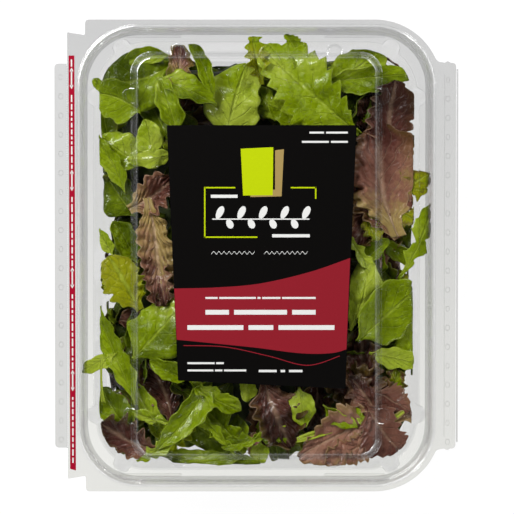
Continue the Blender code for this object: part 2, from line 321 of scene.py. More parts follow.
def print_finish(name, shade, roughness=0.30):
    """Ink on a satin stock, with a slight unevenness."""
    finish = Finish(name)
    grain = finish.noise(900.0, 2.0)
    body = finish.blend(grain.between(0.3, 0.7) * 0.12, shade, tuple(c * 0.8 for c in shade))
    return finish.principled(Base_Color=body, Roughness=grain * 0.10 + roughness, Specular_IOR_Level=0.08)


def wear(piece, *finishes):
    piece.data.materials.clear()
    for finish in finishes:
        piece.data.materials.append(finish)


# ---------------------------------------------------------------- shaping tools


def start_piece(name, bm):
    """An object made from a bmesh, selected alone and active."""
    mesh = bpy.data.meshes.new(name)
    bm.to_mesh(mesh)
    bm.free()
    piece = bpy.data.objects.new(name, mesh)
    bpy.context.scene.collection.objects.link(piece)
    pick(piece)
    return piece


def pick(piece):
    bpy.ops.object.select_all(action="DESELECT")
    piece.select_set(True)
    bpy.context.view_layer.objects.active = piece


def apply_modifier(piece, kind, **settings):
    pick(piece)
    bpy.ops.object.modifier_add(type=kind)
    modifier = piece.modifiers[-1]
    for name, value in settings.items():
        setattr(modifier, name, value)
    bpy.ops.object.modifier_apply(modifier=modifier.name)


def give_wall(piece, thickness, offset=0.0):
    apply_modifier(piece, "SOLIDIFY", thickness=thickness, offset=offset, use_even_offset=True)


def add_bar(name, centre, size, turn=0.0, corner=0.0, segments=2):
    """A box at its size and place, turned about +Z, with rounded edges."""
    bpy.ops.object.select_all(action="DESELECT")
    bpy.ops.mesh.primitive_cube_add(size=1, location=centre, rotation=(0, 0, turn))
    bar = bpy.context.object
    bar.name = bar.data.name = name
    bar.scale = size
    bpy.ops.object.transform_apply(location=True, rotation=True, scale=True)
    if corner:
        apply_modifier(bar, "BEVEL", width=corner, segments=segments, limit_method="ANGLE")
    return bar


def join(name, pieces):
    """Makes one piece of several."""
    pick(pieces[0])
    for piece in pieces:
        piece.select_set(True)
    if len(pieces) > 1:
        bpy.ops.object.join()
    whole = bpy.context.view_layer.objects.active
    whole.name = whole.data.name = name
    return whole


def settle(piece, *nodes, slot=None):
    """Rides the piece on the pack and hides the parts of the model that it replaces."""
    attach(piece, "root")
    if nodes:
        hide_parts(*nodes)
    return piece


def softened(corners, steps=5):
    """A path whose corners, given as (x, y, cut), are rounded off over the distance cut."""
    path = []
    for i, (x, y, cut) in enumerate(corners):
        corner = Vector((x, y))
        if not cut:
            path.append(corner)
            continue
        before = Vector(corners[i - 1][:2])
        after = Vector(corners[(i + 1) % len(corners)][:2])
        start = corner + (before - corner).normalized() * cut
        end = corner + (after - corner).normalized() * cut
        for step in range(steps + 1):
            t = step / steps
            path.append(start * (1 - t) ** 2 + corner * 2 * t * (1 - t) + end * t**2)
    return path


def sides_of(half, radius, arc_steps, x_marks=(), y_marks=()):
    """Points and outward normals round a rounded rectangle, with extra points on its straight sides."""
    stations = []
    corners = ((1, 1, y_marks), (-1, 1, x_marks[::-1]), (-1, -1, y_marks[::-1]), (1, -1, x_marks))
    for turn, (sign_x, sign_y, marks) in enumerate(corners):
        start = turn * math.pi / 2
        along = Vector((math.cos(start), math.sin(start)))
        for mark in marks:
            on_side = (along.x * half[0], mark) if turn % 2 == 0 else (mark, along.y * half[1])
            stations.append((Vector(on_side), along.copy()))
        centre = Vector((sign_x * (half[0] - radius), sign_y * (half[1] - radius)))
        for step in range(arc_steps + 1):
            angle = start + step / arc_steps * math.pi / 2
            normal = Vector((math.cos(angle), math.sin(angle)))
            stations.append((centre + normal * radius, normal))
    return stations


def half_round(stations, centres, radius):
    """How far each station is pushed out by half-round lugs at these centres."""
    nearest = [min((point - Vector(centre)).length for centre in centres) for point, _ in stations]
    return [math.sqrt(max(0.0, radius**2 - distance**2)) for distance in nearest]


def mirrored(points):
    return [(x * sx, y * sy) for x, y in points for sx in (1, -1) for sy in (1, -1)]


def add_ring(bm, stations, inset, z, pushes=None, share=0.0):
    ring = []
    for i, (point, normal) in enumerate(stations):
        x, y = point + normal * ((pushes[i] * share if pushes else 0.0) - inset)
        ring.append(bm.verts.new((x, y, z)))
    return ring


def bridge(bm, first, second):
    for i in range(len(first)):
        j = (i + 1) % len(first)
        bm.faces.new((first[i], first[j], second[j], second[i]))


def fill_between(bm, outer, inner):
    """The flat area between two closed rings at one height."""
    edges = []
    for ring in (outer, inner):
        for i, vertex in enumerate(ring):
            following = ring[(i + 1) % len(ring)]
            edges.append(bm.edges.get((vertex, following)) or bm.edges.new((vertex, following)))
    bmesh.ops.triangle_fill(bm, use_beauty=True, edges=edges, normal=(0, 0, 1))


def profile_rings(bm, stations, profile, pushes=None):
    """Bridged rings for a profile of (inset, height, lug share)."""
    rings = [add_ring(bm, stations, inset, z, pushes, share) for inset, z, share in profile]
    for first, second in zip(rings, rings[1:]):
        bridge(bm, first, second)
    return rings


def eased_profile(corners, steps=4):
    """Rounds the corners of an open profile given as (inset, height, cut, lug share)."""
    eased = []
    for i, (inset, z, cut, share) in enumerate(corners):
        if not cut:
            eased.append((inset, z, share))
            continue
        corner = Vector((inset, z))
        start = corner + (Vector(corners[i - 1][:2]) - corner).normalized() * cut
        end = corner + (Vector(corners[i + 1][:2]) - corner).normalized() * cut
        for step in range(steps + 1):
            t = step / steps
            spot = start * (1 - t) ** 2 + corner * 2 * t * (1 - t) + end * t**2
            eased.append((spot.x, spot.y, share))
    return eased


# ---------------------------------------------------------------- clear sheet


HALF_LENGTH = CAD_BOX[1].y
HINGE_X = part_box("hinge")[0].x - 0.0003
SEAL_EDGE_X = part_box("tear_tab")[1].x + 0.0003
SEAL_CORNER_X = -0.0879
FLANGE_CORNER = 0.0343
HOLD = 0.0003


def flange_outline():
    """Outer edge of both flanges: square corners and ears at the seal, round ones and a tab at the hinge."""
    middle = (0.0608, HALF_LENGTH - FLANGE_CORNER)
    start = math.radians(27)
    arc = []
    for step in range(25):
        angle = start + step / 24 * (math.pi / 2 - start)
        arc.append((middle[0] + FLANGE_CORNER * math.cos(angle), middle[1] + FLANGE_CORNER * math.sin(angle), 0))
    tab_y = 0.0992
    upper = [
        (HINGE_X, tab_y, 0.0022),
        (0.0995, tab_y, 0.0004),
        (0.0988, tab_y + 0.0007, 0.0006),
        (0.0976, tab_y + 0.0007, 0.0006),
        (0.0969, tab_y, 0.0004),
        (arc[0][0] + 0.0014, tab_y + 0.0006, 0.0018),
        *arc,
        (SEAL_CORNER_X, HALF_LENGTH, 0.0022),
        (SEAL_CORNER_X, 0.1133, 0.0010),
        (SEAL_EDGE_X, 0.1148, 0.0006),
    ]
    lower = [(x, -y, cut) for x, y, cut in reversed(upper)]
    return softened(lower + upper)


def add_flange(bm, z, foot):
    """The flat flange from the bead's foot to the outline."""
    outer = [bm.verts.new((point.x, point.y, z)) for point in flange_outline()]
    fill_between(bm, outer, foot)


def bead_profile(size, z, ledge_z, spread):
    """The snap bead from its outer foot to the ledge, as profile corners."""
    top = z + size.bead_height
    width = size.bead_width
    cut = min(0.0009, width / 2 - 0.0006 + spread)
    return eased_profile(
        [
            (-spread - 2 * HOLD - 0.0004, z, 0, 0),
            (-spread - HOLD - 0.0004, z, 0, 0),
            (-spread, z, 0.0003, 0),
            (0.0005 - spread, top, cut, 0),
            (width - 0.0005 + spread, top, cut, 0),
            (width + spread, ledge_z, 0.0003, 0),
            (width + spread + 0.00045, ledge_z, 0, 0),
            (width + spread + 0.00070, ledge_z, 0, 0),
        ]
    )


def build_tray_film(size, finish):
    bm = bmesh.new()
    half = (size.tub_x, size.tub_y)
    lug = size.tub_lug
    ledge_z = size.flange_z - 0.0010
    arc_end = size.tub_y - size.tub_radius
    near = [arc_end - step * lug / 6 for step in range(9, 0, -1)]
    stations = sides_of(half, size.tub_radius, 44, y_marks=[-mark for mark in reversed(near)] + near)
    pushes = half_round(stations, mirrored(((0.0693, 0.1072), (0.0825, 0.0815))), lug)
    base_z = size.sheet / 2 + 0.00005

    def inset_at(z):
        return size.taper * (ledge_z - z) / ledge_z + (size.step_width if z < size.step_z else 0.0)

    step_z = size.step_z
    foot = inset_at(0) + size.base_fillet
    profile = eased_profile(
        [
            (-0.0007, ledge_z, 0, 1),
            (-0.0005, ledge_z, 0, 1),
            (-0.0001, ledge_z + 0.0004, 0.0001, 1),
            (0.0003, ledge_z, 0.0001, 1),
            (inset_at(0.0440), 0.0440, 0.0012, 0.95),
            (inset_at(0.0330), 0.0330, 0.0012, 0.0),
            (inset_at(step_z), step_z, 0.0004, 0),
            (inset_at(step_z - 0.0008), step_z - 0.0008, 0.0003, 0),
            (inset_at(0), base_z, size.base_fillet * 0.9, 0),
            (foot + 0.0004, base_z, 0, 0),
            (foot + 0.0030, base_z, 0, 0),
            (foot + 0.0036, base_z + 0.0006, 0.0003, 0),
            (foot + 0.0060, base_z + 0.0006, 0, 0),
        ]
    )
    rings = profile_rings(bm, stations, profile, pushes)
    bm.faces.new(rings[-1])
    bead_stations = sides_of((size.rim_x, size.rim_y), size.rim_radius, 40)
    bead = profile_rings(bm, bead_stations, bead_profile(size, size.flange_z, ledge_z, 0.0))
    fill_between(bm, bead[-1], rings[0])
    add_flange(bm, size.flange_z, bead[0])
    bmesh.ops.recalc_face_normals(bm, faces=bm.faces)
    piece = start_piece("tray_film", bm)
    give_wall(piece, size.sheet)
    bpy.ops.object.shade_smooth_by_angle(angle=math.radians(35))
    wear(piece, *finish)
    return settle(piece, "tray", slot="clear_sheet")


def build_lid_film(size, finish):
    bm = bmesh.new()
    lug = size.panel_lug
    spread = [lug * (step / 8 - 1) for step in range(17)]
    left, right = -0.0400, 0.0400
    x_marks = [middle + offset for middle in (left, right) for offset in spread]
    y_marks = [sign * 0.0820 + offset for sign in (-1, 1) for offset in spread]
    stations = sides_of((size.panel_x, size.panel_y), size.panel_radius, 20, x_marks, y_marks)
    lugs = mirrored(((size.panel_x, 0.0820), (0.0400, size.panel_y)))
    pushes = half_round(stations, lugs, lug)
    flange_z = size.flange_z + size.rise
    ledge_z = flange_z + size.bead_height - 0.0010
    top_z = ledge_z + size.panel_height
    slope = size.panel_slope
    profile = eased_profile(
        [
            (-0.0008, ledge_z, 0, 1),
            (-0.0005, ledge_z, 0, 1),
            (0.0003, ledge_z, 0.0005, 1),
            (slope * 0.35, ledge_z + size.panel_height * 0.55, 0.0006, 0.9),
            (slope * 0.70, ledge_z + size.panel_height * 0.75, 0.0006, 0.0),
            (slope, top_z, 0.0012, 0),
            (slope + 0.0022, top_z, 0, 0),
            (slope + 0.0026, top_z, 0, 0),
        ]
    )
    rings = profile_rings(bm, stations, profile, pushes)
    bm.faces.new(rings[-1])
    bead_stations = sides_of((size.rim_x, size.rim_y), size.rim_radius, 40)
    bead = profile_rings(bm, bead_stations, bead_profile(size, flange_z, ledge_z, size.rise * 0.6))
    fill_between(bm, bead[-1], rings[0])
    add_flange(bm, flange_z, bead[0])
    bmesh.ops.recalc_face_normals(bm, faces=bm.faces)
    piece = start_piece("lid_film", bm)
    give_wall(piece, size.sheet)
    bpy.ops.object.shade_smooth_by_angle(angle=math.radians(35))
    wear(piece, *finish)
    return settle(piece, "lid", slot="clear_sheet")


def tint_flange(piece, size):
    """Gives the second finish to the snap bead and the flat flange, where two sheets lie together."""
    for face in piece.data.polygons:
        x, y, z = face.center
        out_x = abs(x) - (size.rim_x - size.rim_radius)
        out_y = abs(y) - (size.rim_y - size.rim_radius)
        reach = math.hypot(max(out_x, 0), max(out_y, 0)) + min(max(out_x, out_y), 0)
        if reach > size.rim_radius - size.bead_width - 0.0012 and z > 0.05:
            face.material_index = 1


def tint_corners(piece, size):
    """Gives the third finish to the four corners of the raised panel."""
    for face in piece.data.polygons:
        x, y = face.center.xy
        over_x = abs(x) - (size.panel_x - size.panel_radius)
        over_y = abs(y) - (size.panel_y - size.panel_radius)
        if 0 < over_x < size.panel_radius and 0 < over_y < size.panel_radius and abs(face.normal.z) < 0.98:
            face.material_index = 2


def add_droplets(size, finish):
    """Small drops of water under the lid's panel, beside the label."""
    rng = np.random.default_rng(23)
    underside = size.flange_z + size.rise + size.bead_height - 0.0010 + size.panel_height - size.sheet / 2
    bm = bmesh.new()
    for _ in range(170):
        x = rng.uniform(-0.056, 0.056)
        y = rng.uniform(-0.096, 0.096)
        if LABEL_LOW.x - 0.001 < x < LABEL_HIGH.x + 0.001 and LABEL_LOW.y - 0.001 < y < LABEL_HIGH.y + 0.001:
            continue
        radius = rng.uniform(0.00022, 0.00060)
        flat = Matrix.Diagonal((1, rng.uniform(0.8, 1.3), 0.5, 1))
        place = Matrix.Translation((x, y, underside - radius * 0.30)) @ flat
        bmesh.ops.create_uvsphere(bm, u_segments=12, v_segments=8, radius=radius, matrix=place)
    drops = start_piece("water_drops", bm)
    drops.data.shade_smooth()
    wear(drops, finish)
    settle(drops, slot="clear_sheet")


# ---------------------------------------------------------------- leaves


KINDS = {
    "smooth": dict(
        along=30, across=16, broad=0.92, blunt=0.62, ruffle=1.0, crinkle=1.0, quilt=0.20, stem=0.07, ribs=(6.0, 2.2)
    ),
    "rocket": dict(
        along=46, across=16, broad=1.20, blunt=0.70, ruffle=1.0, crinkle=0.9, quilt=0.35, stem=0.10, ribs=(5.0, 1.6)
    ),
    "red": dict(
        along=42, across=24, broad=1.20, blunt=0.55, ruffle=2.4, crinkle=1.6, quilt=0.90, stem=0.20, ribs=(7.0, 3.6)
    ),
    "frilly": dict(
        along=48, across=22, broad=1.30, blunt=0.52, ruffle=2.8, crinkle=1.3, quilt=0.80, stem=0.14, ribs=(5.0, 2.6)
    ),
    "oak": dict(
        along=52, across=20, broad=1.05, blunt=0.50, ruffle=1.6, crinkle=1.5, quilt=0.60, stem=0.10, ribs=(6.0, 2.0)
    ),
    "serrated": dict(
        along=52, across=18, broad=1.05, blunt=0.62, ruffle=0.9, crinkle=0.9, quilt=0.35, stem=0.08, ribs=(6.0, 2.0)
    ),
    "stem": dict(
        along=24, across=8, broad=1.00, blunt=0.16, ruffle=0.0, crinkle=0.2, quilt=0.0, stem=0.9, ribs=(2.0, 0.2)
    ),
}


def ragged(u, side, draws, slow, quick, teeth):
    """A leaf's edge as a share of its width: slow waves, quick waves and teeth pointing to the tip."""
    edge = 1.0 + slow * np.sin(7.5 * u + 3 * draws[0] + 1.7 * side) + quick * np.sin(31 * u + 5 * draws[1] + side)
    return edge - teeth * np.mod(-(11 + 3 * draws[1]) * u + 0.37 * side + draws[0], 1.0)


def lobed(u, side, draws):
    """Rocket's edge: deep pointed lobes to the stem and a broad toothed end."""
    end = smooth(0.50, 0.78, u)
    lobes = 1 - np.abs(2 * np.mod(3.3 * u + 0.15 * side + draws[0], 1.0) - 1) ** 1.3
    teeth = np.mod(-(7.0 * u + 0.2 * side + draws[1]), 1.0)
    return (1.0 - (1 - end) * 0.62 * lobes - 0.18 * teeth) * (1 + 0.10 * side * draws[1])


EDGES = {
    "smooth": lambda u, side, draws: ragged(u, side, draws, 0.10, 0.035, 0.0),
    "rocket": lobed,
    "red": lambda u, side, draws: ragged(u, side, draws, 0.14, 0.09, 0.06),
    "frilly": lambda u, side, draws: ragged(u, side, draws, 0.12, 0.12, 0.10),
    "oak": lambda u, side, draws: ragged(u, side, draws, 0.20, 0.04, 0.26),
    "serrated": lambda u, side, draws: ragged(u, side, draws, 0.16, 0.04, 0.30),
    "stem": lambda u, side, draws: 1.0 + 0 * u,
}


def smooth(low, high, value):
    t = np.clip((value - low) / (high - low), 0, 1)
    return t * t * (3 - 2 * t)


def waves(x, y, rng, turns=4):
    """A smooth uneven field from a few crossed waves, about -1 to 1."""
    total = np.zeros_like(x)
    for _ in range(turns):
        heading, pace, shift = rng.uniform(0, 2 * np.pi), rng.uniform(0.6, 1.6), rng.uniform(0, 2 * np.pi)
        total += np.sin(pace * (x * np.cos(heading) + y * np.sin(heading)) + shift)
    return total / turns**0.5 / 1.4


def leaf_points(kind, base, tip, width, height, rng, fineness=1.0, **lie):
    """The points of one leaf as (along, across, 3), in metres, with its along and across shares."""
    form = KINDS[kind]
    draws = rng.uniform(-1, 1, 12)
    bend = lie.get("bend", draws[0] * 0.45 + 0.15)
    cup = lie.get("cup", draws[1] * 0.40 + 0.10)
    roll = lie.get("roll", draws[2] * 0.30)
    pitch = lie.get("pitch", draws[3] * 0.12)
    twist = lie.get("twist", draws[4] * 0.6)
    fold = lie.get("fold", 0.26 + 0.30 * draws[8])
    curl = lie.get("curl", draws[9] * 0.16)
    first, last = lie.get("part", (0.0, 1.0))
    base, tip = Vector(base) * MM, Vector(tip) * MM
    half = width * MM / 2
    along, across = round(form["along"] * fineness), 2 * round(form["across"] * fineness / 2)
    u = np.linspace(first, last, along + 1)[:, None] * np.ones((1, across + 1))
    v = np.linspace(-1, 1, across + 1)[None, :] * np.ones((along + 1, 1))
    side = np.sign(v)
    broad = lie.get("broad", form["broad"])
    blunt = lie.get("blunt", form["blunt"])
    outline = np.sin(np.pi * np.clip(u, 0.002, 0.9985) ** broad) ** blunt
    outline = outline * EDGES[kind](u, side, draws[5:7]) * (1 + 0.14 * draws[10] * side)
    petiole = smooth(0.02, 0.26, u)
    share = outline * petiole + form["stem"] * (1 - petiole) * smooth(0.0, 0.01, 1.001 - u)
    wide = np.maximum(half * share, 0.0003)
    s = v * wide
    reach = (tip - base).length / MM

    # Relief, along the leaf's own normal: quilting between ribs, crinkles and a ruffled edge.
    edge = np.abs(v) ** 2.5
    vein = np.cos(2 * np.pi * (form["ribs"][0] * u - form["ribs"][1] * np.abs(v)))
    relief = form["quilt"] * MM * vein * (1 - edge) * np.minimum(1, np.abs(v) * 3) * petiole
    relief += form["crinkle"] * MM * waves(u * reach * 0.42, s / MM * 0.45, rng) * petiole
    relief += 0.45 * form["crinkle"] * MM * waves(u * reach * 1.1, s / MM * 1.1, rng) * petiole
    frill = np.sin(2 * np.pi * u * reach / (13 - 3 * form["ruffle"]) + 6 * draws[7] + 2 * side + 1.5 * v)
    relief += form["ruffle"] * MM * edge * frill * petiole
    relief *= min(1.0, 0.30 + width / 34)
    relief -= 0.6 * MM * np.exp(-((s / (0.9 * MM)) ** 2)) * (1 - 0.7 * u)
    relief += fold * (np.hypot(s, 1.5 * MM) - 1.5 * MM) + curl * half * edge**2 * side

    # Bent across, as an arc.
    lean = cup * s / half
    if abs(cup) > 0.02:
        out = np.sin(lean) * half / cup
        lift = (1 - np.cos(lean)) * half / cup
    else:
        out, lift = s, np.zeros_like(s)
    out = out - relief * np.sin(lean)
    lift = lift + relief * np.cos(lean)
    tuck = np.sin(2 * np.pi * u * reach / (11 - 2.2 * form["ruffle"]) + 4 * draws[8] + 2.6 * side)
    out = out + 0.45 * form["ruffle"] * MM * np.abs(v) ** 4 * tuck * side * petiole

    # Turned about the leaf's own line.
    turn = roll + twist * (u - 0.5)
    out, lift = out * np.cos(turn) - lift * np.sin(turn), out * np.sin(turn) + lift * np.cos(turn)

    # Carried along a line from base to tip, bent both up and sideways.
    theta = (pitch - bend * (np.linspace(0, 1, along + 1) - 0.5))[:, None]
    steps = np.hstack([np.cos(theta), np.sin(theta)])[:-1]
    line = np.vstack([[0, 0], np.cumsum(steps, axis=0)])
    chord = tip - base
    line *= chord.length / max(line[-1, 0], 1e-6)
    line[:, 1] -= line[:, 1].mean()
    sway = lie.get("sway", 0.07 * draws[11]) * chord.length * 4 * (u - u**2)
    heading = chord.normalized()
    sideways = Vector((-heading.y, heading.x))
    level = line[:, 0:1] - lift * np.sin(theta)
    out = out + sway
    z = height + line[:, 1:2] + lift * np.cos(theta)
    x = base.x + level * heading.x + out * sideways.x
    y = base.y + level * heading.y + out * sideways.y
    return np.stack([x, y, z], axis=-1), u, (v + 1) / 2


def outside_of(x, y, half_x, half_y, radius):
    """Signed distance to a rounded rectangle, and the way out of it."""
    qx, qy = np.abs(x) - (half_x - radius), np.abs(y) - (half_y - radius)
    px, py = np.maximum(qx, 0), np.maximum(qy, 0)
    reach = np.hypot(px, py)
    distance = reach + np.minimum(np.maximum(qx, qy), 0) - radius
    safe = np.maximum(reach, 1e-9)
    return distance, px / safe * np.sign(x), py / safe * np.sign(y)


def pressed(points, size, leaf, over_rim=False, stand_off=0.0):
    """Leaves held in by the sheet: crowded and folded down along the wall, and flattened under the lid."""
    x, y, z = points[..., 0].copy(), points[..., 1].copy(), points[..., 2].copy()
    clear = leaf.clear + leaf.thickness
    ledge_z = size.flange_z - 0.0010
    if over_rim:
        reach = size.rim_x - size.bead_width + 0.0004
        long_reach = size.rim_y - size.bead_width + 0.0004
        d, nx, ny = outside_of(x, y, reach, long_reach, size.rim_radius - 0.0060)
        push = np.maximum(d, 0)
        x, y = x - push * nx, y - push * ny
        d, _, _ = outside_of(x, y, size.tub_x - clear, size.tub_y - clear, size.tub_radius)
        between = ledge_z + size.sheet / 2 + leaf.thickness + 0.0005
        lifted = between + 0.35 * MM * np.sin(x * 900) * np.sin(y * 700)
        share = smooth(-0.008, 0.0, d)
        z = z * (1 - share) + lifted * share
    else:
        crowd = 0.0010
        for turn in range(3):
            inset = size.taper * np.clip((ledge_z - z) / ledge_z, 0, 1) + size.step_width * (z < size.step_z) + clear
            if turn == 0:
                inset = inset + stand_off
            d, nx, ny = outside_of(x, y, size.tub_x - inset, size.tub_y - inset, size.tub_radius)
            if turn == 0:
                held = np.where(d > -crowd, -crowd * np.exp(-(d + crowd) / crowd), d)
                push = d - held
            else:
                push = np.maximum(d, 0)
            x, y, z = x - push * nx, y - push * ny, z - push * 0.9
    lid_ledge_z = size.flange_z + size.rise + size.bead_height - 0.0010
    d, _, _ = outside_of(
        x, y, size.panel_x - size.panel_slope, size.panel_y - size.panel_slope, size.panel_radius - 0.003
    )
    ceiling = lid_ledge_z + size.panel_height * (1 - smooth(0.0, size.panel_slope * 0.8, d)) - 0.0010
    over = np.maximum(z - (ceiling - 0.003), 0)
    z = np.where(over > 0, ceiling - 0.003 + 0.003 * (1 - np.exp(-over / 0.003)), z)
    low = size.sheet + leaf.clear + leaf.thickness
    z = np.where(z < low + 0.002, low + 0.002 * np.exp((z - low - 0.002) / 0.002), z)
    return np.stack([x, y, z], axis=-1)


class Heap:
    """Leaves of one kind gathered into one mesh."""

    def __init__(self):
        self.points, self.faces, self.uvs, self.tones, self.flushes = [], [], [], [], []
        self.count = 0

    def add(self, grid, u, v, tone, flush):
        rows, columns = u.shape
        index = np.arange(rows * columns).reshape(rows, columns) + self.count
        quads = np.stack([index[:-1, :-1], index[1:, :-1], index[1:, 1:], index[:-1, 1:]], axis=-1)
        self.points.append(grid.reshape(-1, 3))
        self.faces.append(quads.reshape(-1, 4))
        self.uvs.append(np.stack([u, v], axis=-1).reshape(-1, 2))
        self.tones.append(np.full(rows * columns, tone))
        self.flushes.append(np.full(rows * columns, flush))
        self.count += rows * columns

    def piece(self, name, thickness):
        points, faces = np.vstack(self.points), np.vstack(self.faces)
        mesh = bpy.data.meshes.new(name)
        mesh.from_pydata(points.tolist(), [], faces.tolist())
        uv = mesh.uv_layers.new(name="leaf")
        loops = np.empty(len(mesh.loops), np.int32)
        mesh.loops.foreach_get("vertex_index", loops)
        uv.data.foreach_set("uv", np.vstack(self.uvs)[loops].astype(np.float32).ravel())
        for label, values in (("tone", self.tones), ("blush", self.flushes)):
            layer = mesh.attributes.new(label, "FLOAT", "POINT")
            layer.data.foreach_set("value", np.concatenate(values).astype(np.float32))
        mesh.shade_smooth()
        made = bpy.data.objects.new(name, mesh)
        bpy.context.scene.collection.objects.link(made)
        mesh.materials.append(None)
        mesh.materials.append(None)
        apply_modifier(
            made, "SOLIDIFY", thickness=thickness, offset=-1.0, material_offset=1, material_offset_rim=1
        )
        return made


